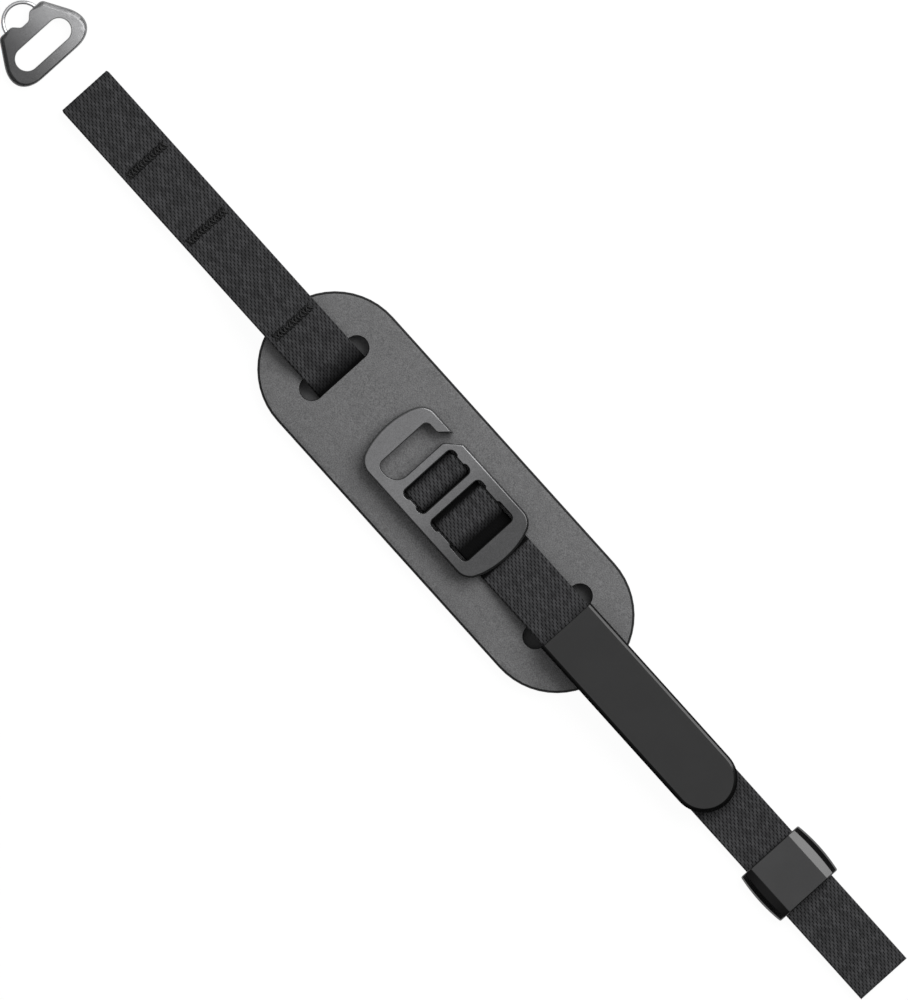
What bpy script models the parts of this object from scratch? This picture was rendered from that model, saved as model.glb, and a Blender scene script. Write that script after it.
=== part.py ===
"""Camera finger strap: a palm pad on narrow webbing, with a hooked buckle, a pull tab, a
sliding keeper and a small connector that lies beyond the strap's upper end.

World frame: origin on the surface that the strap lies on, under the middle of the pad. +X runs
along the strap towards its lower end, +Y across it, and +Z up, away from the surface. All
sizes are real sizes in metres.
"""

import math

import bmesh
import bpy
from mathutils import Matrix, Vector

MM = 0.001

# Clearance between pieces that touch, and how far a cutter reaches past a face
GAP = 0.3 * MM
OVERSHOOT = 0.1 * MM
MERGE_DISTANCE = 0.0001 * MM

# Webbing, the same weave in every strip
WEBBING_WIDTH = 15.0 * MM
WEBBING_THICKNESS = 1.2 * MM
WEBBING_EDGE = 0.2 * MM
WEBBING_BEND = 1.0 * MM
WEBBING_SWEEP_BEND = 9.0 * MM

# Pad: a face with two slots, a core with an opening for the webbing, and a lining under both
PAD_LENGTH = 119.2 * MM
PAD_WIDTH = 38.1 * MM
PAD_THICKNESS = 3.0 * MM
CORE_THICKNESS = 1.2 * MM
PAD_EDGE = 0.5 * MM
PAD_SEAM_EDGE = 0.2 * MM
PAD_OPENING_ROOM = 0.75 * MM
LINING_THICKNESS = 0.8 * MM
PAD_SLOT_SPACING = 81.7 * MM
PAD_SLOT_WIDTH = 5.9 * MM
PAD_SLOT_END_ROOM = 2.85 * MM
PAD_SLOT_EDGE = 0.25 * MM

# Folded upper strap and its bar-tacks
UPPER_REACH = 72.7 * MM
FOLDED_TAIL_END = 7.1 * MM
PAD_APPROACH = 1.9 * MM
PAD_APPROACH_RUN = 16.5 * MM
FIRST_TACK_FROM_FOLD = 22.9 * MM
TACK_PITCH = 21.9 * MM
PAD_TACK_INSET = 3.6 * MM
TACK_LENGTH = 12.0 * MM
TACK_WIDTH = 2.0 * MM
TACK_HEAD = 0.3 * MM
TACK_LAP = 0.2 * MM

# Way of the webbing through the pad's slots, and from there to the straight run inside the pad
DIVE_ENTRY = 0.4 * MM
DIVE_EXIT = 0.7 * MM
RUN_INSET = 4.0 * MM

# Hooked buckle, from the hook's end to the end bar
HOOK_BAR = 5.95 * MM
HOOK_SLOT = 6.55 * MM
FIRST_BAR = 2.35 * MM
FIRST_SLOT = 7.45 * MM
MIDDLE_BAR = 2.5 * MM
SECOND_SLOT = 13.1 * MM
END_BAR = 6.05 * MM
BUCKLE_RAIL = 2.85 * MM
BUCKLE_SLOT_ROOM = 0.75 * MM
BUCKLE_END_RADIUS = 24.0 * MM
BUCKLE_CORNER_RADIUS = 4.2 * MM
BUCKLE_EDGE = 0.35 * MM
SLOT_CORNER_RADIUS = 0.9 * MM
SLOT_EDGE = 0.2 * MM
UPPER_BAR_THICKNESS = 2.0 * MM
LOWER_BAR_THICKNESS = 1.8 * MM
FIRST_LOWER_BAR = 2.4 * MM
SECOND_LOWER_BAR = 4.3 * MM
SECOND_LOWER_BAR_INSET = 3.0 * MM
SHOULDER_STEP = 0.45 * MM
SHOULDER_RADIUS = 0.6 * MM
THROAT_WIDTH = 2.4 * MM
THROAT_STEP = 0.55 * MM
HOOK_HEEL_RADIUS = 3.4 * MM
HOOK_TOE_RADIUS = 1.5 * MM
HOOK_NOSE_RADIUS = 0.6 * MM
ADJUSTER_TAIL_LAP = 1.3 * MM
RAMP_ANGLE = math.radians(42)

# Pull tab
TAB_START_GAP = 0.1 * MM
TAB_LENGTH = 58.8 * MM
TAB_OVERHANG = 0.6 * MM
TAB_THICKNESS = 2.0 * MM
TAB_CHAMFER_WIDTH = 0.65 * MM
TAB_CHAMFER_DROP = 0.55 * MM
TAB_SIDE_ROUND = 0.25 * MM
ADJUSTER_END_INSET = 6.2 * MM
LEVEL_OFF = 2.2 * MM

# Keeper, a sliding loop on the lower strap
KEEPER_FROM_TAB = 15.6 * MM
KEEPER_LENGTH = 14.5 * MM
KEEPER_SIDE_ROOM = 0.4 * MM
KEEPER_SIDE_WALL = 1.5 * MM
KEEPER_BULGE = 0.6 * MM
KEEPER_BASE = 1.1 * MM
KEEPER_TOP = 2.0 * MM
KEEPER_SHOULDER_WIDTH = 1.85 * MM
KEEPER_SHOULDER_DROP = 1.0 * MM
KEEPER_SIDE_ROUND = 0.7 * MM
KEEPER_FLAT_INSET = 1.35 * MM
KEEPER_MOUTH_ROUND = 0.35 * MM
LOWER_END_FROM_KEEPER = 27.4 * MM

# Connector plate and the wire bail set in its edge
CONNECTOR_GAP = 9.0 * MM
PLATE_LENGTH = 14.4 * MM
PLATE_WIDTH = 22.6 * MM
PLATE_THICKNESS = 3.0 * MM
PLATE_CORNER_RADIUS = 5.6 * MM
PLATE_SIDE_ANGLE = math.radians(31)
PLATE_EDGE = 0.6 * MM
PLATE_EAR_RADIUS = 1.2 * MM
PLATE_SLOT_WIDTH = 5.9 * MM
PLATE_SLOT_INSET = 3.1 * MM
PLATE_SLOT_END_ROOM = 0.7 * MM
PLATE_SLOT_EDGE = 0.2 * MM
NOTCH_DEPTH = 1.7 * MM
NOTCH_MOUTH = 5.8 * MM
NOTCH_FLOOR = 2.4 * MM
NOTCH_RADIUS = 1.1 * MM
BAIL_WIRE = 1.1 * MM
BAIL_SPAN = 9.6 * MM
BAIL_REACH = 4.5 * MM
BAIL_LEG_DEPTH = 3.7 * MM

# Places along the strap
LAYER_PITCH = WEBBING_THICKNESS + GAP
PAD_END_X = PAD_LENGTH / 2
SLOT_X = PAD_SLOT_SPACING / 2
SLOT_INNER_X = SLOT_X - PAD_SLOT_WIDTH / 2
SLOT_OUTER_X = SLOT_X + PAD_SLOT_WIDTH / 2
RUN_END_X = SLOT_INNER_X - RUN_INSET
FOLD_X = -PAD_END_X - UPPER_REACH
TAB_START_X = SLOT_OUTER_X + TAB_START_GAP
PLATE_BASE_X = FOLD_X - CONNECTOR_GAP
PLATE_EAR_X = PLATE_BASE_X - PLATE_LENGTH
TACK_XS = {
    "bar_tack_end": FOLD_X + FIRST_TACK_FROM_FOLD,
    "bar_tack_middle": FOLD_X + FIRST_TACK_FROM_FOLD + TACK_PITCH,
    "bar_tack_pad": -PAD_END_X + PAD_TACK_INSET,
}

# Heights of the layers, from the surface up
PAD_BASE_Z = LINING_THICKNESS + GAP
PAD_TOP_Z = PAD_BASE_Z + PAD_THICKNESS
IN_PAD_Z = PAD_BASE_Z + WEBBING_THICKNESS / 2
FACE_BASE_Z = PAD_BASE_Z + CORE_THICKNESS + GAP
ON_PAD_Z = PAD_TOP_Z + GAP + WEBBING_THICKNESS / 2
TACK_ROOM = TACK_HEAD + GAP
FOLDED_REST_Z = TACK_ROOM + WEBBING_THICKNESS / 2
FOLDED_ON_PAD_Z = PAD_TOP_Z + GAP + TACK_ROOM + WEBBING_THICKNESS / 2
KEEPER_RUN_Z = KEEPER_BASE + GAP + WEBBING_THICKNESS / 2
BUCKLE_BASE_Z = PAD_TOP_Z + GAP
CHANNEL_TOP_Z = BUCKLE_BASE_Z + LAYER_PITCH
BUCKLE_TOP_Z = CHANNEL_TOP_Z + UPPER_BAR_THICKNESS
LOWER_BAR_TOP_Z = BUCKLE_BASE_Z + LOWER_BAR_THICKNESS
OVER_BAR_Z = LOWER_BAR_TOP_Z + GAP + WEBBING_THICKNESS / 2

# Buckle's stations along X, centred on the pad
BUCKLE_LENGTH = HOOK_BAR + HOOK_SLOT + FIRST_BAR + FIRST_SLOT + MIDDLE_BAR + SECOND_SLOT + END_BAR
BUCKLE_START_X = -BUCKLE_LENGTH / 2
HOOK_SLOT_X0 = BUCKLE_START_X + HOOK_BAR
HOOK_SLOT_X1 = HOOK_SLOT_X0 + HOOK_SLOT
FIRST_SLOT_X0 = HOOK_SLOT_X1 + FIRST_BAR
FIRST_SLOT_X1 = FIRST_SLOT_X0 + FIRST_SLOT
SECOND_SLOT_X0 = FIRST_SLOT_X1 + MIDDLE_BAR
SECOND_SLOT_X1 = SECOND_SLOT_X0 + SECOND_SLOT
BUCKLE_END_X = SECOND_SLOT_X1 + END_BAR
FIRST_LOWER_X = (FIRST_SLOT_X0 + FIRST_SLOT_X1) / 2
FIRST_LOWER_XS = (FIRST_LOWER_X - FIRST_LOWER_BAR / 2, FIRST_LOWER_X + FIRST_LOWER_BAR / 2)
SECOND_LOWER_X = SECOND_SLOT_X0 + SECOND_LOWER_BAR_INSET
SECOND_LOWER_XS = (SECOND_LOWER_X, SECOND_LOWER_X + SECOND_LOWER_BAR)
SLOT_HALF = WEBBING_WIDTH / 2 + BUCKLE_SLOT_ROOM
SHOULDER_HALF = WEBBING_WIDTH / 2 + GAP
BUCKLE_HALF = SLOT_HALF + BUCKLE_RAIL
ADJUSTER_TAIL_X = HOOK_SLOT_X1 + ADJUSTER_TAIL_LAP

# Straight slope of the strap under the tab: it clears the pad's end and comes down to the keeper
TAB_REACH_X = TAB_START_X + TAB_LENGTH
LEVEL_X = TAB_REACH_X - LEVEL_OFF
SLOPE = (ON_PAD_Z - KEEPER_RUN_Z) / (LEVEL_X - PAD_END_X)
SLOPE_ANGLE = math.atan(SLOPE)
SLOPE_START_X = SLOT_OUTER_X + DIVE_EXIT
SLOPE_START_Z = ON_PAD_Z + SLOPE * (PAD_END_X - SLOPE_START_X)
ADJUSTER_LIFT = LAYER_PITCH / math.cos(SLOPE_ANGLE)
KEEPER_START_X = TAB_REACH_X + KEEPER_FROM_TAB
LOWER_END_X = KEEPER_START_X + KEEPER_LENGTH + LOWER_END_FROM_KEEPER

SMOOTH_ANGLE = math.radians(32)
STRAIGHT_ANGLE = math.radians(179.5)
ARC_STEP = math.radians(12)
ROUND_SEGMENTS = 72
PAD_EDGE_STEPS = 3
END_STATIONS = 3
WIRE_SEGMENTS = 16
BAIL_STEPS = 24
KEEPER_STATIONS = 8


def clear_scene():
    """Removes what the startup scene holds."""
    for obj in list(bpy.data.objects):
        bpy.data.objects.remove(obj, do_unlink=True)


def make_material(name, colour, roughness, metallic=0.0):
    """A Principled material with one colour, roughness and metallic value."""
    material = bpy.data.materials.new(name)
    material.use_nodes = True
    shader = material.node_tree.nodes["Principled BSDF"]
    shader.inputs["Base Color"].default_value = (*colour, 1.0)
    shader.inputs["Roughness"].default_value = roughness
    shader.inputs["Metallic"].default_value = metallic
    material.diffuse_color = (*colour, 1.0)
    return material


def make_object(name, bm, material=None, parent=None, location=(0, 0, 0)):
    """Turns a bmesh into a named object, shaded smooth except at its edges."""
    bmesh.ops.remove_doubles(bm, verts=bm.verts, dist=MERGE_DISTANCE)
    bmesh.ops.recalc_face_normals(bm, faces=bm.faces)
    mesh = bpy.data.meshes.new(name)
    bm.to_mesh(mesh)
    bm.free()
    mesh.shade_smooth()
    mesh.set_sharp_from_angle(angle=SMOOTH_ANGLE)
    if material:
        mesh.materials.append(material)
    obj = bpy.data.objects.new(name, mesh)
    obj.location = location
    obj.parent = parent
    bpy.context.scene.collection.objects.link(obj)
    return obj


def hide_tool(obj):
    """Marks an object as a cutter or a lug for a Boolean, which isn't a part of its own."""
    obj.hide_render = True
    obj.display_type = "WIRE"
    return obj


def boolean(target, tool, operation):
    """Cuts tool out of target, or joins it on."""
    modifier = target.modifiers.new(f"{operation.lower()}_{tool.name}", "BOOLEAN")
    modifier.operation = operation
    modifier.object = hide_tool(tool)


def arc_points(centre, radius, start, end, steps):
    """Points along a circle's arc, both ends included, with angles in radians."""
    middle = Vector(centre)
    angles = [start + (end - start) * k / steps for k in range(steps + 1)]
    return [middle + Vector((math.cos(angle), math.sin(angle))) * radius for angle in angles]


def rounded_outline(corners):
    """Closed outline through (x, y, radius) corners, with each corner replaced by an arc."""
    points = []
    for i, (x, y, radius) in enumerate(corners):
        here = Vector((x, y))
        if radius <= 0:
            points.append(here)
            continue
        before = (Vector(corners[i - 1][:2]) - here).normalized()
        after = (Vector(corners[(i + 1) % len(corners)][:2]) - here).normalized()
        points.extend(corner_arc(here, before, after, radius))
    return points


def corner_arc(here, before, after, radius):
    """Points of the arc that rounds the corner at here, between unit vectors to its neighbours."""
    angle = before.angle(after)
    if angle > STRAIGHT_ANGLE:
        return [here]
    centre = here + (before + after).normalized() * (radius / math.sin(angle / 2))
    start = here + before * (radius / math.tan(angle / 2)) - centre
    first = math.atan2(start.y, start.x)
    turn = math.copysign(math.pi - angle, after.cross(before))
    return arc_points(centre, radius, first, first + turn, max(1, math.ceil(abs(turn) / ARC_STEP)))


def rounded_path(corners):
    """Open line through (x, z, radius) corners, with its inner corners rounded."""
    points = [Vector(corners[0][:2])]
    for i in range(1, len(corners) - 1):
        here = Vector(corners[i][:2])
        before = Vector(corners[i - 1][:2]) - here
        after = Vector(corners[i + 1][:2]) - here
        points.extend(corner_arc(here, before.normalized(), after.normalized(), corners[i][2]))
    points.append(Vector(corners[-1][:2]))
    return points


def stadium_outline(centre_x, length, width, along_x):
    """Outline with two straight sides and two half-round ends."""
    half = (length - width) / 2
    turn = math.pi / 2
    steps = ROUND_SEGMENTS // 2
    if along_x:
        right = arc_points((centre_x + half, 0), width / 2, -turn, turn, steps)
        return right + arc_points((centre_x - half, 0), width / 2, turn, 3 * turn, steps)
    top = arc_points((centre_x, half), width / 2, 0, 2 * turn, steps // 2)
    return top + arc_points((centre_x, -half), width / 2, 2 * turn, 4 * turn, steps // 2)


def offset_outline(points, distance):
    """The outline moved outwards by distance, or inwards where that is negative."""
    moved = []
    for i, here in enumerate(points):
        before = (here - points[i - 1]).normalized()
        after = (points[(i + 1) % len(points)] - here).normalized()
        first = Vector((before.y, -before.x))
        second = Vector((after.y, -after.x))
        moved.append(here + (first + second) * (distance / (1 + first.dot(second))))
    return moved


def close_rings(bm, count):
    """Bridges a bmesh's rings of count vertices each, in their order, and caps the first and last."""
    bm.verts.ensure_lookup_table()
    rings = [bm.verts[i : i + count] for i in range(0, len(bm.verts), count)]
    bm.faces.new(rings[0])
    bm.faces.new(rings[-1])
    for low, high in zip(rings, rings[1:]):
        for i in range(count):
            j = (i + 1) % count
            bm.faces.new((low[i], low[j], high[j], high[i]))


def stacked_prism(outline, layers):
    """Solid made of the outline at each (height, offset) layer, bridged, and closed at both ends."""
    bm = bmesh.new()
    for height, offset in layers:
        for p in offset_outline(outline, offset) if offset else outline:
            bm.verts.new((p.x, p.y, height))
    close_rings(bm, len(outline))
    return bm


def flared_cutter(name, outline, bottom, top, flare):
    """Cutter with straight walls that opens by flare, if any, at the two faces that it cuts."""
    if flare:
        layers = [
            (bottom - OVERSHOOT, flare + OVERSHOOT),
            (bottom + flare, 0.0),
            (top - flare, 0.0),
            (top + OVERSHOOT, flare + OVERSHOOT),
        ]
    else:
        layers = [(bottom - OVERSHOOT, 0.0), (top + OVERSHOOT, 0.0)]
    return make_object(name, stacked_prism(outline, layers))


def chamfered_layers(bottom, top, chamfer):
    """Layers of a plate whose bottom and top edges are chamfered at 45 degrees."""
    return [(bottom, -chamfer), (bottom + chamfer, 0.0), (top - chamfer, 0.0), (top, -chamfer)]


def box_bmesh(low, high):
    """Plain box between two corners."""
    bm = bmesh.new()
    size = Vector(high) - Vector(low)
    place = Matrix.Translation((Vector(low) + Vector(high)) / 2) @ Matrix.Diagonal((*size, 1))
    bmesh.ops.create_cube(bm, size=1.0, matrix=place)
    return bm


def swept_bmesh(path, section, place):
    """Solid swept along a plane line, with mitred corners.

    The section is (across, out) pairs: across lies along the line's normal in its plane, and out
    stands square to that plane. place turns a plane point and its height off the plane into space.
    """
    bm = bmesh.new()
    for i, here in enumerate(path):
        before = (here - path[i - 1]).normalized() if i else None
        after = (path[i + 1] - here).normalized() if i + 1 < len(path) else None
        first = before or after
        second = after or before
        normal = Vector((-first.y - second.y, first.x + second.x)) / (1 + first.dot(second))
        for across, out in section:
            bm.verts.new(place(here + normal * across, out))
    close_rings(bm, len(section))
    return bm


def strip_bmesh(path):
    """Webbing swept along a line in the XZ plane, with its section's four corners chamfered."""
    half, thick = WEBBING_WIDTH / 2, WEBBING_THICKNESS / 2
    flat, lip = half - WEBBING_EDGE, thick - WEBBING_EDGE
    upper = [(lip, half), (thick, flat), (thick, -flat), (lip, -half)]
    section = upper + [(-across, out) for across, out in reversed(upper)]
    return swept_bmesh(path, section, lambda point, out: (point.x, out, point.y))


def slope_z(x):
    """Height of the main strap's middle on its slope under the tab."""
    return SLOPE_START_Z - SLOPE * (x - SLOPE_START_X)


def upper_webbing_path():
    """Middle line of the strap's upper stretch: folded, and then down through the upper slot."""
    step_x = -PAD_END_X - PAD_APPROACH
    foot_x = step_x - PAD_APPROACH_RUN
    fold_line_x = FOLD_X + WEBBING_THICKNESS / 2
    tail_x = -PAD_END_X + FOLDED_TAIL_END
    fold = LAYER_PITCH / 2
    upper_rest = FOLDED_REST_Z + LAYER_PITCH
    upper_on_pad = FOLDED_ON_PAD_Z + LAYER_PITCH
    sweep = WEBBING_SWEEP_BEND
    return rounded_path([
        (tail_x, FOLDED_ON_PAD_Z, 0),
        (step_x, FOLDED_ON_PAD_Z, sweep),
        (foot_x, FOLDED_REST_Z, sweep),
        (fold_line_x, FOLDED_REST_Z, fold),
        (fold_line_x, upper_rest, fold),
        (foot_x, upper_rest, sweep),
        (step_x, upper_on_pad, sweep),
        (tail_x + WEBBING_THICKNESS, upper_on_pad, WEBBING_BEND),
        (-SLOT_OUTER_X + DIVE_ENTRY, ON_PAD_Z, WEBBING_BEND),
        (-SLOT_INNER_X - DIVE_EXIT, IN_PAD_Z, WEBBING_BEND),
        (-RUN_END_X - GAP, IN_PAD_Z, 0),
    ])


def lower_webbing_path():
    """Middle line of its lower stretch: up through the lower slot and down to the lower end."""
    return rounded_path([
        (RUN_END_X + GAP, IN_PAD_Z, 0),
        (SLOT_INNER_X + DIVE_EXIT, IN_PAD_Z, WEBBING_BEND),
        (SLOPE_START_X, SLOPE_START_Z, WEBBING_BEND),
        (LEVEL_X, KEEPER_RUN_Z, WEBBING_SWEEP_BEND),
        (LOWER_END_X, KEEPER_RUN_Z, 0),
    ])


def ramp(corner_x, wall_x):
    """Both ends of the slope from over a lower bar to under an upper one.

    corner_x is the lower bar's edge and wall_x the upper bar's edge. The slope is steep enough to
    pass between the two with the clearance, and keeps that clearance to the lower bar.
    """
    side = math.copysign(1.0, wall_x - corner_x)
    way = abs(wall_x - corner_x)
    lap = LOWER_BAR_TOP_Z - CHANNEL_TOP_Z
    room = (WEBBING_THICKNESS + 2 * GAP) / math.hypot(way, lap)
    angle = max(RAMP_ANGLE, math.asin(min(1.0, room)) + math.atan2(lap, way))
    reach = WEBBING_THICKNESS / 2 + GAP
    line_x = corner_x + side * math.sin(angle) * reach
    line_z = LOWER_BAR_TOP_Z + math.cos(angle) * reach
    high_x = line_x + side * (line_z - OVER_BAR_Z) / math.tan(angle)
    low_x = line_x + side * (line_z - ON_PAD_Z) / math.tan(angle)
    return (high_x, OVER_BAR_Z, WEBBING_BEND), (low_x, ON_PAD_Z, WEBBING_BEND)


def adjuster_path():
    """Middle line of the strip that is woven through the buckle and runs under the tab."""
    first_left = ramp(FIRST_LOWER_XS[0], FIRST_SLOT_X0)
    first_right = ramp(FIRST_LOWER_XS[1], FIRST_SLOT_X1)
    second_left = ramp(SECOND_LOWER_XS[0], SECOND_SLOT_X0)
    second_right = ramp(SECOND_LOWER_XS[1], SECOND_SLOT_X1)
    crest_x = TAB_START_X - WEBBING_THICKNESS
    end_x = TAB_REACH_X - ADJUSTER_END_INSET
    return rounded_path([
        (ADJUSTER_TAIL_X, ON_PAD_Z, 0),
        first_left[1], first_left[0], first_right[0], first_right[1],
        second_left[1], second_left[0], second_right[0], second_right[1],
        (BUCKLE_END_X + WEBBING_THICKNESS, ON_PAD_Z, WEBBING_SWEEP_BEND),
        (crest_x, slope_z(crest_x) + ADJUSTER_LIFT, WEBBING_BEND),
        (end_x, slope_z(end_x) + ADJUSTER_LIFT, 0),
    ])


def layers_at_tack(x):
    """Lowest and highest face of the doubled strap where a bar-tack holds it."""
    on_pad = x > -PAD_END_X
    middle = FOLDED_ON_PAD_Z if on_pad else FOLDED_REST_Z
    return middle - WEBBING_THICKNESS / 2, middle + LAYER_PITCH + WEBBING_THICKNESS / 2


def tack_outline(x, grow):
    """Rectangle of a bar-tack's core, grown by a margin on every side."""
    half_x = TACK_WIDTH / 2 - GAP - TACK_LAP + grow
    half_y = TACK_LENGTH / 2 - GAP - TACK_LAP + grow
    return [Vector((x + sx * half_x, sy * half_y)) for sx, sy in ((-1, -1), (1, -1), (1, 1), (-1, 1))]


def build_main_webbing(material, parent):
    """The strap, in three stretches that meet inside the pad; the folded one is pierced at its tacks."""
    obj = make_object("main_webbing", strip_bmesh(upper_webbing_path()), material, parent)
    for name, x in TACK_XS.items():
        low, high = layers_at_tack(x)
        layers = [(low - GAP, 0.0), (high + GAP, 0.0)]
        boolean(obj, make_object(f"cut_{name}", stacked_prism(tack_outline(x, GAP), layers)), "DIFFERENCE")
    run = [Vector((-RUN_END_X, IN_PAD_Z)), Vector((RUN_END_X, IN_PAD_Z))]
    make_object("webbing_in_pad", strip_bmesh(run), material, parent)
    make_object("lower_webbing", strip_bmesh(lower_webbing_path()), material, parent)


def build_bar_tacks(material, parent):
    """Dense rows of thread through both layers: a core, and a low head above and below."""
    lap = GAP + TACK_LAP
    for name, x in TACK_XS.items():
        low, high = layers_at_tack(x)
        under, over = low - GAP, high + GAP
        layers = [
            (under - TACK_HEAD, lap), (under, lap), (under, 0.0),
            (over, 0.0), (over, lap), (over + TACK_HEAD, lap),
        ]
        make_object(name, stacked_prism(tack_outline(x, 0.0), layers), material, parent)


def build_adjuster_webbing(material, parent):
    """The short strip through the buckle."""
    return make_object("adjuster_webbing", strip_bmesh(adjuster_path()), material, parent)


def cut_pad_slots(sheet, bottom, top, edge):
    """Cuts both cross slots through one sheet of the pad, between its two heights."""
    length = WEBBING_WIDTH + 2 * PAD_SLOT_END_ROOM
    for side, place in ((-1, "upper"), (1, "lower")):
        slot = stadium_outline(side * SLOT_X, length, PAD_SLOT_WIDTH, along_x=False)
        cutter = flared_cutter(f"cut_{sheet.name}_{place}_slot", slot, bottom, top, edge)
        boolean(sheet, cutter, "DIFFERENCE")


def build_hand_pad(material, parent):
    """The pad's face: half-round ends, a rounded top edge and two slots for the webbing."""
    outline = stadium_outline(0.0, PAD_LENGTH, PAD_WIDTH, along_x=True)
    quarter = [math.pi / 2 * k / PAD_EDGE_STEPS for k in range(PAD_EDGE_STEPS + 1)]
    layers = [(FACE_BASE_Z, 0.0)]
    for angle in quarter:
        drop, inset = PAD_EDGE * (1 - math.sin(angle)), PAD_EDGE * (1 - math.cos(angle))
        layers.append((PAD_TOP_Z - drop, -inset))
    obj = make_object("hand_pad", stacked_prism(outline, layers), material, parent)
    cut_pad_slots(obj, FACE_BASE_Z, PAD_TOP_Z, PAD_SLOT_EDGE)
    return obj


def build_pad_core(material, parent):
    """The pad's middle sheet: as thick as the webbing, and open where it runs between the slots."""
    outline = stadium_outline(0.0, PAD_LENGTH, PAD_WIDTH, along_x=True)
    top = PAD_BASE_Z + CORE_THICKNESS
    obj = make_object("pad_core", stacked_prism(outline, [(PAD_BASE_Z, 0.0), (top, 0.0)]), material, parent)
    cut_pad_slots(obj, PAD_BASE_Z, top, 0.0)
    half = WEBBING_WIDTH / 2 + PAD_OPENING_ROOM
    opening = box_bmesh((-SLOT_X, -half, PAD_BASE_Z - OVERSHOOT), (SLOT_X, half, top + OVERSHOOT))
    boolean(obj, make_object("cut_pad_opening", opening), "DIFFERENCE")
    return obj


def build_pad_lining(material, parent):
    """Thin sheet that closes the pad's underside from end to end."""
    outline = stadium_outline(0.0, PAD_LENGTH, PAD_WIDTH, along_x=True)
    layers = chamfered_layers(0.0, LINING_THICKNESS, PAD_SEAM_EDGE)
    return make_object("pad_lining", stacked_prism(outline, layers), material, parent)


def buckle_outline():
    """Buckle seen from above: straight rails, and ends that are shallow arcs with round corners."""
    inner_y = BUCKLE_HALF - BUCKLE_CORNER_RADIUS
    bow = BUCKLE_END_RADIUS - math.sqrt(BUCKLE_END_RADIUS**2 - BUCKLE_HALF**2)
    corners = []
    for side in (1, -1):
        end_x = BUCKLE_END_X if side > 0 else BUCKLE_START_X
        corners.append((end_x - side * bow, -side * BUCKLE_HALF, BUCKLE_CORNER_RADIUS))
        for k in range(-END_STATIONS, END_STATIONS + 1):
            y = side * k / END_STATIONS * inner_y
            sag = BUCKLE_END_RADIUS - math.sqrt(BUCKLE_END_RADIUS**2 - y**2)
            corners.append((end_x - side * sag, y, 0))
        corners.append((end_x - side * bow, side * BUCKLE_HALF, BUCKLE_CORNER_RADIUS))
    return rounded_outline(corners)


def hook_slot_outline():
    """The open slot: a round heel, and a slanted throat between the nose and the body."""
    throat_y = SLOT_HALF - THROAT_STEP
    nose_x = HOOK_SLOT_X1 - (THROAT_WIDTH * math.sqrt(2) - THROAT_STEP)
    beyond = BUCKLE_HALF + BUCKLE_RAIL
    return rounded_outline([
        (HOOK_SLOT_X0, -SLOT_HALF, HOOK_TOE_RADIUS),
        (HOOK_SLOT_X1, -SLOT_HALF, HOOK_HEEL_RADIUS),
        (HOOK_SLOT_X1, throat_y, SLOT_CORNER_RADIUS),
        (HOOK_SLOT_X1 + beyond - throat_y, beyond, 0),
        (nose_x + beyond - SLOT_HALF, beyond, 0),
        (nose_x, SLOT_HALF, HOOK_NOSE_RADIUS),
        (HOOK_SLOT_X0, SLOT_HALF, SLOT_CORNER_RADIUS),
    ])


def woven_slot_outline(x0, x1, lower_x0, lower_x1):
    """Slot for the webbing, narrowed by a shoulder at each end of its lower bar."""
    side = [
        (x0, -SLOT_HALF, SLOT_CORNER_RADIUS),
        (lower_x0 - SHOULDER_STEP, -SLOT_HALF, SHOULDER_RADIUS),
        (lower_x0, -SHOULDER_HALF, SHOULDER_RADIUS),
        (lower_x1, -SHOULDER_HALF, SHOULDER_RADIUS),
        (lower_x1 + SHOULDER_STEP, -SLOT_HALF, SHOULDER_RADIUS),
        (x1, -SLOT_HALF, SLOT_CORNER_RADIUS),
    ]
    return rounded_outline(side + [(x, -y, radius) for x, y, radius in reversed(side)])


def build_buckle(material, parent):
    """One-piece hooked frame: three upper bars with two lower bars set between them."""
    layers = chamfered_layers(BUCKLE_BASE_Z, BUCKLE_TOP_Z, BUCKLE_EDGE)
    obj = make_object("buckle", stacked_prism(buckle_outline(), layers), material, parent)
    slots = {
        "cut_hook_slot": hook_slot_outline(),
        "cut_first_slot": woven_slot_outline(FIRST_SLOT_X0, FIRST_SLOT_X1, *FIRST_LOWER_XS),
        "cut_second_slot": woven_slot_outline(SECOND_SLOT_X0, SECOND_SLOT_X1, *SECOND_LOWER_XS),
    }
    for name, outline in slots.items():
        boolean(obj, flared_cutter(name, outline, BUCKLE_BASE_Z, BUCKLE_TOP_Z, SLOT_EDGE), "DIFFERENCE")
    channel = box_bmesh(
        (ADJUSTER_TAIL_X - GAP, -SHOULDER_HALF, BUCKLE_BASE_Z - GAP),
        (BUCKLE_END_X + GAP, SHOULDER_HALF, CHANNEL_TOP_Z),
    )
    boolean(obj, make_object("cut_webbing_channel", channel), "DIFFERENCE")
    root = SLOT_HALF + BUCKLE_RAIL / 2
    for name, (x0, x1) in {"lower_bar_one": FIRST_LOWER_XS, "lower_bar_two": SECOND_LOWER_XS}.items():
        bar = box_bmesh((x0, -root, BUCKLE_BASE_Z), (x1, root, LOWER_BAR_TOP_Z))
        boolean(obj, make_object(name, bar), "UNION")
    return obj


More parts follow.
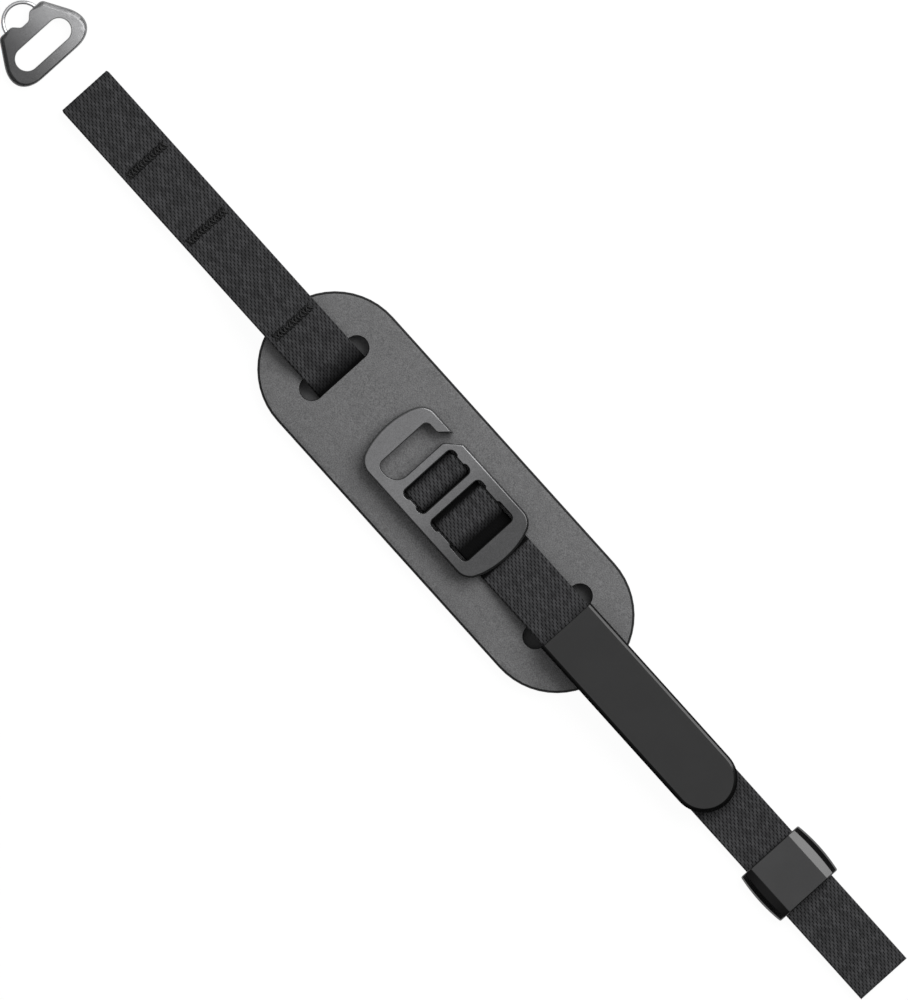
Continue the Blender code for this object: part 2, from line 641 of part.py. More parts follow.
def build_pull_tab(material, parent):
    """Soft moulded tab: square start, half-round end, a chamfered top edge and a flat underside."""
    width = WEBBING_WIDTH + 2 * TAB_OVERHANG
    outline = stadium_outline((TAB_LENGTH - width) / 2, TAB_LENGTH + width, width, along_x=True)
    shoulder = TAB_THICKNESS - TAB_CHAMFER_DROP
    layers = [
        (0.0, -TAB_SIDE_ROUND),
        (TAB_SIDE_ROUND, 0.0),
        (shoulder - TAB_SIDE_ROUND, 0.0),
        (shoulder, -TAB_SIDE_ROUND),
        (TAB_THICKNESS, -TAB_SIDE_ROUND - TAB_CHAMFER_WIDTH),
    ]
    bm = stacked_prism(outline, layers)
    geometry = bm.verts[:] + bm.edges[:] + bm.faces[:]
    cut = bmesh.ops.bisect_plane(bm, geom=geometry, plane_co=(0, 0, 0), plane_no=(-1, 0, 0), clear_outer=True)
    rim = [e for e in cut["geom_cut"] if isinstance(e, bmesh.types.BMEdge)]
    bmesh.ops.contextual_create(bm, geom=rim)
    seat = ADJUSTER_LIFT + (WEBBING_THICKNESS / 2 + GAP) / math.cos(SLOPE_ANGLE)
    obj = make_object("pull_tab", bm, material, parent, (TAB_START_X, 0, slope_z(TAB_START_X) + seat))
    obj.rotation_euler = (0, SLOPE_ANGLE, 0)
    return obj


def keeper_section():
    """Keeper's outer section at its ends, across the strap, as (y, z) points."""
    half = WEBBING_WIDTH / 2 + KEEPER_SIDE_ROOM + KEEPER_SIDE_WALL
    top = KEEPER_BASE + LAYER_PITCH + GAP + KEEPER_TOP
    flat_y = WEBBING_WIDTH / 2 - KEEPER_FLAT_INSET
    shoulder_y = flat_y + KEEPER_SHOULDER_WIDTH
    shoulder_z = top - KEEPER_SHOULDER_DROP
    right = [
        (shoulder_y, 0.0, KEEPER_BASE),
        (half, KEEPER_BASE, KEEPER_SIDE_ROUND),
        (half, shoulder_z - KEEPER_SHOULDER_DROP, KEEPER_SIDE_ROUND),
        (shoulder_y, shoulder_z, KEEPER_SIDE_ROUND),
        (flat_y, top, 0),
    ]
    return rounded_outline(right + [(-y, z, radius) for y, z, radius in reversed(right)])


def bowed(point, station):
    """A section's point moved outwards by the bow of the keeper's sides at a station from -1 to 1."""
    flat_y = WEBBING_WIDTH / 2 - KEEPER_FLAT_INSET
    side_y = WEBBING_WIDTH / 2 + KEEPER_SIDE_ROOM + KEEPER_SIDE_WALL
    share = max(0.0, (abs(point.x) - flat_y) / (side_y - flat_y))
    return Vector((point.x + math.copysign(share * KEEPER_BULGE * (1 - station**2), point.x), point.y))


def build_keeper(material, parent):
    """Flat loop round the lower strap, with shoulders beside its flat top and sides that bow out."""
    section = keeper_section()
    mouth = 2 * KEEPER_MOUTH_ROUND / KEEPER_LENGTH
    inner = [mouth - 1 + (2 - 2 * mouth) * k / KEEPER_STATIONS for k in range(KEEPER_STATIONS + 1)]
    rings = [[bowed(p, station) for p in section] for station in inner]
    rings.insert(0, offset_outline([bowed(p, 1.0) for p in section], -KEEPER_MOUTH_ROUND))
    rings.append(rings[0])
    bm = bmesh.new()
    for station, ring in zip([-1.0, *inner, 1.0], rings):
        x = station * KEEPER_LENGTH / 2
        for p in ring:
            bm.verts.new((x, p.x, p.y - KEEPER_RUN_Z))
    close_rings(bm, len(section))
    middle_x = KEEPER_START_X + KEEPER_LENGTH / 2
    obj = make_object("keeper", bm, material, parent, (middle_x, 0, KEEPER_RUN_Z))
    half_y = WEBBING_WIDTH / 2 + KEEPER_SIDE_ROOM
    half_z = WEBBING_THICKNESS / 2 + GAP
    reach = KEEPER_LENGTH
    window = box_bmesh((-reach, -half_y, -half_z), (reach, half_y, half_z))
    boolean(obj, make_object("cut_keeper_window", window, None, parent, obj.location), "DIFFERENCE")
    return obj


def plate_outline():
    """Connector plate from above: round shoulders, slanted sides, and ears beside a soft notch."""
    half = PLATE_WIDTH / 2
    opening = math.pi / 2 - PLATE_SIDE_ANGLE
    shoulder_y = half - PLATE_CORNER_RADIUS + PLATE_CORNER_RADIUS / math.tan(opening / 2)
    ear_y = shoulder_y - PLATE_LENGTH * math.tan(PLATE_SIDE_ANGLE)
    notch_x = PLATE_EAR_X + NOTCH_DEPTH
    upper = [
        (PLATE_BASE_X, shoulder_y, PLATE_CORNER_RADIUS),
        (PLATE_EAR_X, ear_y, PLATE_EAR_RADIUS),
        (PLATE_EAR_X, NOTCH_MOUTH / 2, NOTCH_RADIUS),
        (notch_x, NOTCH_FLOOR / 2, NOTCH_RADIUS),
    ]
    return rounded_outline(upper + [(x, -y, radius) for x, y, radius in reversed(upper)])


def bail_path():
    """Middle line of the bail: a leg, a half circle beyond the plate's edge, and the other leg."""
    radius = BAIL_SPAN / 2
    centre_x = PLATE_EAR_X - BAIL_REACH + BAIL_WIRE / 2 + radius
    leg_x = PLATE_EAR_X + BAIL_LEG_DEPTH
    bow = arc_points((centre_x, 0), radius, math.pi / 2, 3 * math.pi / 2, BAIL_STEPS)
    return [Vector((leg_x, radius))] + bow + [Vector((leg_x, -radius))]


def build_connector_plate(material, parent):
    """Flat metal plate with a slot for webbing and two blind holes for the bail's legs."""
    layers = chamfered_layers(0.0, PLATE_THICKNESS, PLATE_EDGE)
    obj = make_object("connector_plate", stacked_prism(plate_outline(), layers), material, parent)
    slot_x = PLATE_BASE_X - PLATE_SLOT_INSET - PLATE_SLOT_WIDTH / 2
    length = WEBBING_WIDTH + 2 * PLATE_SLOT_END_ROOM
    slot = stadium_outline(slot_x, length, PLATE_SLOT_WIDTH, along_x=False)
    boolean(obj, flared_cutter("cut_plate_slot", slot, 0.0, PLATE_THICKNESS, PLATE_SLOT_EDGE), "DIFFERENCE")
    depth = BAIL_LEG_DEPTH + GAP
    for side, name in ((1, "cut_left_leg_hole"), (-1, "cut_right_leg_hole")):
        ring = {"segments": WIRE_SEGMENTS, "radius1": BAIL_WIRE / 2 + GAP, "radius2": BAIL_WIRE / 2 + GAP}
        middle = Vector((PLATE_EAR_X, side * BAIL_SPAN / 2, PLATE_THICKNESS / 2))
        place = Matrix.Translation(middle) @ Matrix.Rotation(math.pi / 2, 4, "Y")
        bm = bmesh.new()
        bmesh.ops.create_cone(bm, cap_ends=True, depth=2 * depth, matrix=place, **ring)
        boolean(obj, make_object(name, bm), "DIFFERENCE")
    return obj


def build_connector_bail(material, parent):
    """Polished wire bail, its legs set in the plate's edge."""
    radius = BAIL_WIRE / 2
    turns = [2 * math.pi * (k + 0.5) / WIRE_SEGMENTS for k in range(WIRE_SEGMENTS)]
    section = [(radius * math.cos(turn), radius * math.sin(turn)) for turn in turns]
    bm = swept_bmesh(bail_path(), section, lambda point, out: (*point, PLATE_THICKNESS / 2 + out))
    return make_object("connector_bail", bm, material, parent)


def main():
    """Builds every piece under one empty."""
    clear_scene()
    strap = bpy.data.objects.new("finger_strap", None)
    bpy.context.scene.collection.objects.link(strap)
    webbing = make_material("webbing", (0.040, 0.040, 0.042), 0.85)
    thread = make_material("thread", (0.012, 0.012, 0.013), 0.7)
    pad = make_material("pad", (0.140, 0.140, 0.142), 0.9)
    anodised = make_material("anodised_metal", (0.165, 0.165, 0.168), 0.42, 0.9)
    plate = make_material("plate_metal", (0.200, 0.200, 0.205), 0.4, 0.9)
    rubber = make_material("tab_rubber", (0.036, 0.036, 0.038), 0.5)
    gloss = make_material("keeper_plastic", (0.040, 0.040, 0.042), 0.25)
    steel = make_material("polished_steel", (0.78, 0.78, 0.79), 0.12, 1.0)
    build_main_webbing(webbing, strap)
    build_bar_tacks(thread, strap)
    build_hand_pad(pad, strap)
    build_pad_core(pad, strap)
    build_pad_lining(pad, strap)
    build_adjuster_webbing(webbing, strap)
    build_buckle(anodised, strap)
    build_pull_tab(rubber, strap)
    build_keeper(gloss, strap)
    build_connector_plate(plate, strap)
    build_connector_bail(steel, strap)


main()
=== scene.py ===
"""Looks of the camera finger strap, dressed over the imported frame.

Woven webbing, a suede pad, an anodised hooked buckle, a moulded pull tab and keeper, and the small
connector with its wire bail. World frame as in the frame: +X runs along the strap towards its lower
end, +Y across it, +Z up from the surface that it lies on. Lengths are in metres.
"""

import logging
import math
import random
from collections.abc import Callable
from dataclasses import dataclass, field, replace
from enum import Enum

import bmesh
import bpy
from mathutils import Matrix, Vector, noise


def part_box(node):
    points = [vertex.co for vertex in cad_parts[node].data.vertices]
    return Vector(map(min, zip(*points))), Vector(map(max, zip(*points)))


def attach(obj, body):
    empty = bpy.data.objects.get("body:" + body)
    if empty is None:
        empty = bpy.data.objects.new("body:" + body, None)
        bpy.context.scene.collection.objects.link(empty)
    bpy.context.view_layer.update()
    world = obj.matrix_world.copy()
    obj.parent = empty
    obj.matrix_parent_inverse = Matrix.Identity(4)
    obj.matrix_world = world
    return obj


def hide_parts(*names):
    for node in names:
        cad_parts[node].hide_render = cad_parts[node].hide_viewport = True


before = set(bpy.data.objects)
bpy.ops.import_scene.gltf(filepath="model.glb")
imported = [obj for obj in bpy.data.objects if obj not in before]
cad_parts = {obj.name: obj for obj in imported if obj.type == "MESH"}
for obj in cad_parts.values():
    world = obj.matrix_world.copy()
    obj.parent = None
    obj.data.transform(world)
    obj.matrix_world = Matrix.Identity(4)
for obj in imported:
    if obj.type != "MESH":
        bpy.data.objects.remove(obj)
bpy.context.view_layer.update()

LOG = logging.getLogger("finger_strap")
MM = 0.001

WEBBING_WIDTH = 15.0 * MM
WEBBING_THICKNESS = 1.2 * MM
WEAVE_PERIOD = 1.5 * MM

MERGE_DISTANCE = 0.0001 * MM
SEAM_DISTANCE = 0.004 * MM
SMOOTH_ANGLE = math.radians(34)
FLAT_NORMAL = 0.9995
ARC_STEP = math.radians(7)
ROUTE_ARC_STEP = math.radians(3)
BLACK = (0.0, 0.0, 0.0)

# Parts of a noise's range that a value follows. The narrower the part, the harder the change.
WIDE = (0.2, 0.8)
MIDDLE = (0.25, 0.75)
NARROW = (0.3, 0.7)

# A corner is (x, y, radius), and a step of an edge is (inset, rise). A share gives the part of an
# edge's width that is kept at (x, y).
Place = tuple[float, float, float]
Corner = tuple[float, float, float]
Colour = tuple[float, float, float]
Box = tuple[Vector, Vector]
Step = tuple[float, float]
Steps = list[Step]
Share = Callable[[float, float], float]


class Body(Enum):
    """Moving bodies of the frame."""

    STRAP = "strap"
    KEEPER = "keeper"


class Slot(Enum):
    """Material slots of the record."""

    WEBBING = "webbing"
    THREAD = "thread"
    PAD = "pad"
    BUCKLE = "buckle_metal"
    TAB = "tab"
    KEEPER = "keeper_plastic"
    PLATE = "plate_metal"
    WIRE = "polished_wire"


class Side(Enum):
    """Faces of a woven strip: the one to the left of its route, and the other."""

    LEFT = 1
    RIGHT = -1


class Axis(Enum):
    """Directions in the surface that the strap lies on: along the strap, and across it."""

    ALONG = 0
    ACROSS = 1

    def vector(self) -> Vector:
        """The direction as a unit vector."""
        return Matrix.Identity(3)[self.value].copy()


class Shader:
    """Node-by-node maker of one Principled material."""

    def __init__(self, name: str) -> None:
        """Starts an empty Principled material.

        Args:
            name: The material's name.
        """
        self.material = bpy.data.materials.new(name)
        self.material.use_nodes = True
        self.tree = self.material.node_tree
        self.principled = self.tree.nodes["Principled BSDF"]

    def set(self, **values: object) -> None:
        """Sets or links sockets of the Principled node.

        Args:
            values: Socket names with underscores for spaces, and a value or a socket for each.
        """
        for name, value in values.items():
            self.feed(self.principled.inputs[name.replace("_", " ")], value)

    def feed(self, socket: bpy.types.NodeSocket, value: object) -> None:
        """Links a socket to another, or sets its value.

        Args:
            socket: The input.
            value: A node's output, a colour or a plain value.
        """
        if isinstance(value, bpy.types.NodeSocket):
            self.tree.links.new(value, socket)
        elif isinstance(value, tuple) and len(value) == 3 and socket.type == "RGBA":
            socket.default_value = (*value, 1.0)
        else:
            socket.default_value = value

    def add(self, kind: str, inputs: dict[str | int, object], **settings: object) -> bpy.types.Node:
        """Adds a node.

        Args:
            kind: The node's type.
            inputs: Values or sockets for its inputs, by name or place.
            settings: The node's own settings.

        Returns:
            The new node.
        """
        node = self.tree.nodes.new(kind)
        for name, value in settings.items():
            setattr(node, name, value)
        for name, value in inputs.items():
            self.feed(node.inputs[name], value)
        return node

    def calc(self, operation: str, *values: object) -> bpy.types.NodeSocket:
        """One Math node's result."""
        return self.add("ShaderNodeMath", dict(enumerate(values)), operation=operation).outputs[0]

    def span(
        self, value: object, low: float, high: float, to: tuple[float, float] = (0.0, 1.0),
    ) -> bpy.types.NodeSocket:
        """A value mapped smoothly from low..high to a range, and held at its ends."""
        inputs = {"Value": value, "From Min": low, "From Max": high, "To Min": to[0], "To Max": to[1]}
        return self.add("ShaderNodeMapRange", inputs, interpolation_type="SMOOTHSTEP").outputs[0]

    def swing(
        self, value: object, part: tuple[float, float], share: float, middle: float = 1.0,
    ) -> bpy.types.NodeSocket:
        """A value that follows a noise, by a share of its middle to each side."""
        return self.span(value, *part, (middle * (1.0 - share), middle * (1.0 + share)))

    def mix(self, factor: object, first: object, second: object) -> bpy.types.NodeSocket:
        """Mixes two colours.

        Args:
            factor: 0 for the first, and 1 for the second.
            first: The first colour.
            second: The second colour.

        Returns:
            The mixed colour.
        """
        node = self.add("ShaderNodeMix", {}, data_type="RGBA")
        for place, value in ((0, factor), (6, first), (7, second)):
            self.feed(node.inputs[place], value)
        return node.outputs[2]

    def tinted(self, level: object, colour: Colour) -> bpy.types.NodeSocket:
        """A colour scaled by a level, which is 1 where the colour stays as it is, and 2 at most."""
        return self.mix(self.calc("MULTIPLY", level, 0.5), BLACK, doubled(colour))

    def object_place(self) -> bpy.types.NodeSocket:
        """The Object coordinates."""
        return self.add("ShaderNodeTexCoord", {}).outputs["Object"]

    def grain(self, place: bpy.types.NodeSocket, size: float, detail: float = 2.0) -> bpy.types.NodeSocket:
        """Noise whose blotches are about size across, from 0 to 1."""
        inputs = {"Vector": place, "Scale": 1.0 / size, "Detail": detail, "Roughness": 0.55}
        return self.add("ShaderNodeTexNoise", inputs).outputs[0]

    def relief(self, height: object, distance: float, strength: float) -> None:
        """Sets the normal from a bump."""
        inputs = {"Height": height, "Distance": distance, "Strength": strength}
        self.set(Normal=self.add("ShaderNodeBump", inputs).outputs[0])


@dataclass(frozen=True)
class WovenYarn:
    """Finish of the webbing: slanted floats of light yarn over gaps darkened as painted shade, in staggered
    rows, with painted shade also where the strip is tucked down into a slot.
    """

    name: str = "woven_nylon"
    # The pits' colour is painted shade in the gaps between floats.
    pit_shade_colour: Colour = (0.0040, 0.0040, 0.0042)
    yarn_colour: Colour = (0.0505, 0.0505, 0.0527)
    # This colour is painted shade, for the stretches that run down in a slot.
    slot_shade_colour: Colour = (0.0008, 0.0008, 0.0009)
    period: float = WEAVE_PERIOD
    row_pitch: float = 0.6 * MM
    slant: float = 0.75
    pit_length: float = 0.36
    pit_width: float = 0.24
    groove_slant: float = 0.45
    groove_shade_level: float = 0.95
    twist_slant: float = 1.6
    twist_count: float = 7.0
    twist_shade: float = 0.08
    least_level: float = 0.7
    level_spread: float = 0.6
    fibre_size: float = 0.12 * MM
    blotch_size: float = 2.2 * MM
    depth: float = 0.07 * MM
    roughness: float = 0.8
    specular: float = 0.12

    def material(self) -> bpy.types.Material:
        """Builds the material over the strip's own weave places.

        Returns:
            The material.
        """
        s = Shader(self.name)

        # Rows across, picks along, and f and g as the place in one pick, from -0.5 to 0.5. The attribute's
        # third part is the share of painted shade down in a slot.
        place = s.add("ShaderNodeAttribute", {}, attribute_name="weave")
        split = s.add("ShaderNodeSeparateXYZ", {0: place.outputs["Vector"]})
        along, across, slot_shade = split.outputs
        rows = s.calc("DIVIDE", across, self.row_pitch)
        row = s.calc("FLOOR", rows)
        g = s.calc("SUBTRACT", s.calc("SUBTRACT", rows, row), 0.5)
        stagger = s.calc("MULTIPLY", s.calc("MODULO", row, 2.0), 0.5)
        picks = s.calc("ADD", s.calc("DIVIDE", along, self.period), stagger)
        pick = s.calc("FLOOR", picks)
        f = s.calc("SUBTRACT", s.calc("SUBTRACT", picks, pick), 0.5)
        cell = s.add("ShaderNodeCombineXYZ", {0: pick, 1: row})
        chance = s.add("ShaderNodeTexWhiteNoise", {"Vector": cell.outputs[0]}).outputs["Value"]

        # A pit where one float ends and the next begins, and a faint groove beside each float, both darkened
        # in colour as painted shade.
        to_end = s.calc("SUBTRACT", f, s.calc("MULTIPLY", s.calc("SIGN", f), 0.5))
        reach = s.calc("POWER", s.calc("DIVIDE", to_end, self.pit_length), 2.0)
        leaning = s.calc("MULTIPLY_ADD", to_end, self.slant, g)
        girth = s.calc("POWER", s.calc("DIVIDE", leaning, self.pit_width), 2.0)
        pit = s.span(s.calc("ADD", reach, girth), 1.5, 0.15)
        beside = s.calc("ABSOLUTE", s.calc("MULTIPLY_ADD", f, self.groove_slant, g))
        groove_shade = s.span(beside, 0.3, 0.55, (1.0, self.groove_shade_level))

        # The yarn's own twist, its fibres, and slow blotches.
        twist_place = s.calc("MULTIPLY_ADD", f, self.twist_slant, g)
        twist = s.calc("SINE", s.calc("MULTIPLY", twist_place, self.twist_count * 2.0 * math.pi))
        fibre = s.grain(s.object_place(), self.fibre_size, 3.0)
        blotch = s.grain(s.object_place(), self.blotch_size)
        own_level = s.calc("MULTIPLY_ADD", chance, self.level_spread, self.least_level)
        level = s.calc("MULTIPLY", groove_shade, own_level)
        level = s.calc("MULTIPLY", level, s.swing(blotch, MIDDLE, 0.1))
        level = s.calc("MULTIPLY", level, s.calc("MULTIPLY_ADD", twist, self.twist_shade, 1.0))
        level = s.calc("MULTIPLY", level, s.swing(fibre, WIDE, 0.18))
        yarn = s.tinted(level, self.yarn_colour)
        # Painted shade: the colour darkens towards black in the pits and in the stretches down in a slot.
        s.set(Base_Color=s.mix(slot_shade, s.mix(pit, yarn, self.pit_shade_colour), self.slot_shade_colour))
        s.set(Roughness=s.swing(fibre, WIDE, 0.05, self.roughness))
        s.principled.inputs["Specular IOR Level"].default_value = self.specular
        height = s.calc("MULTIPLY_ADD", pit, -1.0, s.calc("MULTIPLY", twist, 0.12))
        s.relief(s.calc("MULTIPLY_ADD", fibre, 0.25, height), self.depth, 0.5)
        return s.material


@dataclass(frozen=True)
class Suede:
    """Finish of the pad: very matt, with a fine nap and soft blotches."""

    name: str
    colour: Colour
    nap: float = 0.28 * MM
    spread: float = 0.16
    tuft_size: float = 1.1 * MM
    blotch_size: float = 7.0 * MM
    depth: float = 0.05 * MM
    roughness: tuple[float, float] = (0.86, 0.97)
    specular: float = 0.15
    sheen: float = 0.05

    def material(self) -> bpy.types.Material:
        """Builds the material.

        Returns:
            The material.
        """
        s = Shader(self.name)
        place = s.object_place()
        fine = s.grain(place, self.nap, 3.0)
        tufts = s.grain(place, self.tuft_size, 3.0)
        blotch = s.grain(place, self.blotch_size)
        level = s.swing(fine, MIDDLE, self.spread)
        level = s.calc("MULTIPLY", level, s.swing(tufts, NARROW, 0.06))
        level = s.calc("MULTIPLY", level, s.swing(blotch, NARROW, 0.03))
        s.set(Base_Color=s.tinted(level, self.colour))
        s.set(Roughness=s.span(fine, *WIDE, self.roughness))
        s.principled.inputs["Specular IOR Level"].default_value = self.specular
        s.principled.inputs["Sheen Weight"].default_value = self.sheen
        s.relief(s.calc("MULTIPLY_ADD", tufts, 0.5, fine), self.depth, 0.5)
        return s.material


@dataclass(frozen=True)
class MouldedFinish:
    """Finish of a moulded or sealed black surface, from satin to gloss."""

    name: str
    colour: Colour
    roughness: float
    grain_size: float = 0.35 * MM
    grain_depth: float = 0.01 * MM
    blotch_size: float = 9.0 * MM
    specular: float = 0.5

    def material(self) -> bpy.types.Material:
        """Builds the material.

        Returns:
            The material.
        """
        s = Shader(self.name)
        place = s.object_place()
        fine = s.grain(place, self.grain_size)
        level = s.swing(s.grain(place, self.blotch_size), NARROW, 0.08)
        level = s.calc("MULTIPLY", level, s.swing(fine, MIDDLE, 0.06))
        s.set(Base_Color=s.tinted(level, self.colour))
        s.set(Roughness=s.swing(fine, WIDE, 0.1, self.roughness))
        s.principled.inputs["Specular IOR Level"].default_value = self.specular
        s.relief(fine, self.grain_depth, 0.35)
        return s.material


@dataclass(frozen=True)
class BlastedMetal:
    """Finish of the anodised pieces: a fine blasted grain, and painted shade that darkens the colour along
    one axis.
    """

    name: str
    colour: Colour
    # Painted shade: the colour falls from full at one place to a lower level at another, along an axis.
    shade_axis: Axis
    shade_from: float
    shade_to: float
    shade_level: float
    roughness: float = 0.4
    metallic: float = 0.85
    grain_size: float = 0.16 * MM
    grain_depth: float = 0.012 * MM
    blotch_size: float = 5.0 * MM

    def material(self) -> bpy.types.Material:
        """Builds the material.

        Returns:
            The material.
        """
        s = Shader(self.name)
        place = s.object_place()
        blast = s.grain(place, self.grain_size)
        level = s.swing(blast, MIDDLE, 0.24)
        level = s.calc("MULTIPLY", level, s.swing(s.grain(place, self.blotch_size), NARROW, 0.05))
        # Painted shade: the colour darkens steadily along one axis, in place of a change in the light over
        # the piece.
        along = s.add("ShaderNodeSeparateXYZ", {0: place}).outputs[self.shade_axis.value]
        painted_shade = s.span(along, self.shade_from, self.shade_to, (1.0, self.shade_level))
        level = s.calc("MULTIPLY", level, painted_shade)
        s.set(Base_Color=s.tinted(level, self.colour))
        s.set(Roughness=s.swing(blast, WIDE, 0.12, self.roughness))
        s.principled.inputs["Metallic"].default_value = self.metallic
        s.relief(blast, self.grain_depth, 0.3)
        return s.material


@dataclass(frozen=True)
class PolishedWire:
    """Finish of the bail: bright drawn steel with faint lengthwise lines."""

    name: str = "polished_steel_wire"
    colour: Colour = (0.82, 0.82, 0.83)
    line_colour: Colour = (0.7, 0.7, 0.71)
    line_size: float = 0.3 * MM
    roughness: tuple[float, float] = (0.08, 0.16)

    def material(self) -> bpy.types.Material:
        """Builds the material.

        Returns:
            The material.
        """
        s = Shader(self.name)
        lines = s.grain(s.object_place(), self.line_size, 3.0)
        s.set(Base_Color=s.mix(s.span(lines, *NARROW), self.colour, self.line_colour))
        s.set(Roughness=s.span(lines, *WIDE, self.roughness))
        s.principled.inputs["Metallic"].default_value = 1.0
        return s.material


def doubled(colour: Colour) -> Colour:
    """A colour at twice its level, which a mix from black at one half gives back."""
    return tuple(min(1.0, 2.0 * part) for part in colour)


def new_object(name: str, mesh: bpy.types.Mesh, materials: list[bpy.types.Material]) -> bpy.types.Object:
    """Links a mesh as an object at the origin.

    Args:
        name: The piece's name.
        mesh: Its mesh, with its place in it.
        materials: Its materials, by index.

    Returns:
        The object.
    """
    for material in materials:
        mesh.materials.append(material)
    obj = bpy.data.objects.new(name, mesh)
    bpy.context.scene.collection.objects.link(obj)
    return obj


def close_up(
    name: str, bm: bmesh.types.BMesh, materials: list[bpy.types.Material], creased: bool = True,
) -> bpy.types.Object:
    """Turns a bmesh into a smoothly shaded piece, and frees it.

    Args:
        name: The piece's name.
        bm: Its shape.
        materials: Its materials, by index.
        creased: Whether its edges are shaded sharp where its faces meet at a large angle.

    Returns:
        The piece.
    """
    bmesh.ops.remove_doubles(bm, verts=bm.verts, dist=MERGE_DISTANCE)
    bmesh.ops.recalc_face_normals(bm, faces=bm.faces)
    mesh = bpy.data.meshes.new(name)
    bm.to_mesh(mesh)
    bm.free()
    mesh.shade_smooth()
    if creased:
        mesh.set_sharp_from_angle(angle=SMOOTH_ANGLE)
    return new_object(name, mesh, materials)


def bake_modifiers(obj: bpy.types.Object) -> bpy.types.Object:
    """Applies a piece's modifiers to its mesh.

    Args:
        obj: The piece.

    Returns:
        The same piece, with no modifier left.
    """
    graph = bpy.context.evaluated_depsgraph_get()
    mesh = bpy.data.meshes.new_from_object(obj.evaluated_get(graph))
    obj.modifiers.clear()
    obj.data = mesh
    return obj


def soften_shading(obj: bpy.types.Object) -> bpy.types.Object:
    """Weights a piece's normals by face area, so that flats look flat beside their rounded edges.

    Args:
        obj: The piece.

    Returns:
        The same piece.
    """
    modifier = obj.modifiers.new("weighted_normals", "WEIGHTED_NORMAL")
    modifier.keep_sharp = True
    return obj


def trace(bm: bmesh.types.BMesh, corners: list[Corner]) -> None:
    """Adds a closed outline of edges whose corners are rounded.

    Args:
        bm: The bmesh, which holds no face yet.
        corners: The corners in order, as (x, y, radius).
    """
    verts = [bm.verts.new((x, y, 0.0)) for x, y, _ in corners]
    bm.faces.new(verts)
    for i, (x, y, radius) in enumerate(corners):
        if radius <= 0.0:
            continue
        here = Vector((x, y))
        before = Vector(corners[i - 1][:2]) - here
        after = Vector(corners[(i + 1) % len(corners)][:2]) - here
        angle = before.angle(after)
        segments = max(2, math.ceil((math.pi - angle) / ARC_STEP))
        bmesh.ops.bevel(
            bm, geom=[verts[i]], offset=radius / math.tan(angle / 2), offset_type="OFFSET",
            segments=segments, profile=0.5, affect="VERTICES", clamp_overlap=False, material=-1,
        )
    bmesh.ops.delete(bm, geom=bm.faces[:], context="FACES_ONLY")
    bmesh.ops.remove_doubles(bm, verts=bm.verts, dist=SEAM_DISTANCE)


def fillet(radius: float, count: int = 4) -> Steps:
    """Steps of a quarter-round edge.

    Args:
        radius: The edge's radius.
        count: The number of facets round it.

    Returns:
        The steps, from the wall to the flat.
    """
    angles = [math.pi / 2 * k / count for k in range(count + 1)]
    points = [(radius * (1 - math.cos(a)), radius * math.sin(a)) for a in angles]
    return [(b[0] - a[0], b[1] - a[1]) for a, b in zip(points, points[1:])]


def soft_chamfer(width: float, drop: float, ease: float, lean: float = 0.35) -> Steps:
    """Steps of a chamfer whose two edges are eased by a small facet each.

    Args:
        width: The chamfer's width over the flat.
        drop: Its height down the wall.
        ease: Size of the two facets.
        lean: How far they lean towards the chamfer, from 0 to 1.

    Returns:
        The steps, from the wall to the flat.
    """
    share = ease / math.hypot(width, drop)
    rest = 1.0 - (1.0 + lean) * share
    return [
        (width * share * lean, drop * share),
        (width * rest, drop * rest),
        (width * share, drop * share * lean),
    ]


def full_share(x: float, y: float) -> float:
    """The same edge all round."""
    return 1.0


def rim(
    bm: bmesh.types.BMesh, faces: list[bmesh.types.BMFace], steps: Steps, up: float, share: Share,
) -> None:
    """Shapes the edge round a flat region, holes included, by insets that each rise a little.

    Args:
        bm: The bmesh.
        faces: The region, which ends as the flat inside the edge.
        steps: The edge's steps, from the wall to the flat.
        up: 1 for a region that faces up, and -1 for one that faces down.
        share: Gives the part of each inset's width that is kept at a place.
    """
    for inset, rise in steps:
        bmesh.ops.inset_region(bm, faces=faces, thickness=inset, use_boundary=True, use_even_offset=True)
        region = set(faces)
        verts = {vert for face in faces for vert in face.verts}
        for vert in verts:
            for edge in vert.link_edges:
                outer = edge.other_vert(vert)
                if outer not in verts and not region.intersection(edge.link_faces):
                    kept = share(outer.co.x, outer.co.y)
                    vert.co.x = outer.co.x + (vert.co.x - outer.co.x) * kept
                    vert.co.y = outer.co.y + (vert.co.y - outer.co.y) * kept
        bmesh.ops.translate(bm, vec=(0.0, 0.0, up * rise), verts=list(verts))


@dataclass
class Slab:
    """Closed plate over plane outlines, of which the first is the outside and the rest are holes."""

    outlines: list[list[Corner]]
    low: float
    high: float
    top: Steps
    bottom: Steps
    share: Share = full_share

    def shape(self) -> bmesh.types.BMesh:
        """Builds the plate.

        Returns:
            The bmesh of the plate, with material 0 on its two flats and 1 on its walls and edges.
        """
        bm = bmesh.new()
        for corners in self.outlines:
            trace(bm, corners)
        bmesh.ops.triangle_fill(bm, use_beauty=True, edges=bm.edges[:], normal=(0.0, 0.0, 1.0))
        floor = bm.faces[:]
        for face in floor:
            if face.normal.z < 0.0:
                face.normal_flip()
        start = self.low + sum(rise for _, rise in self.bottom)
        stop = self.high - sum(rise for _, rise in self.top)
        bmesh.ops.translate(bm, vec=(0.0, 0.0, start), verts=bm.verts)
        made = bmesh.ops.extrude_face_region(bm, geom=floor, use_keep_orig=True)
        roof = [item for item in made["geom"] if isinstance(item, bmesh.types.BMFace)]
        verts = list({vert for face in roof for vert in face.verts})
        bmesh.ops.translate(bm, vec=(0.0, 0.0, stop - start), verts=verts)
        bmesh.ops.reverse_faces(bm, faces=floor)
        rim(bm, roof, self.top, 1.0, self.share)
        rim(bm, floor, self.bottom, -1.0, self.share)
        for face in bm.faces:
            face.material_index = 1
        for face in roof + floor:
            face.material_index = 0
        return bm


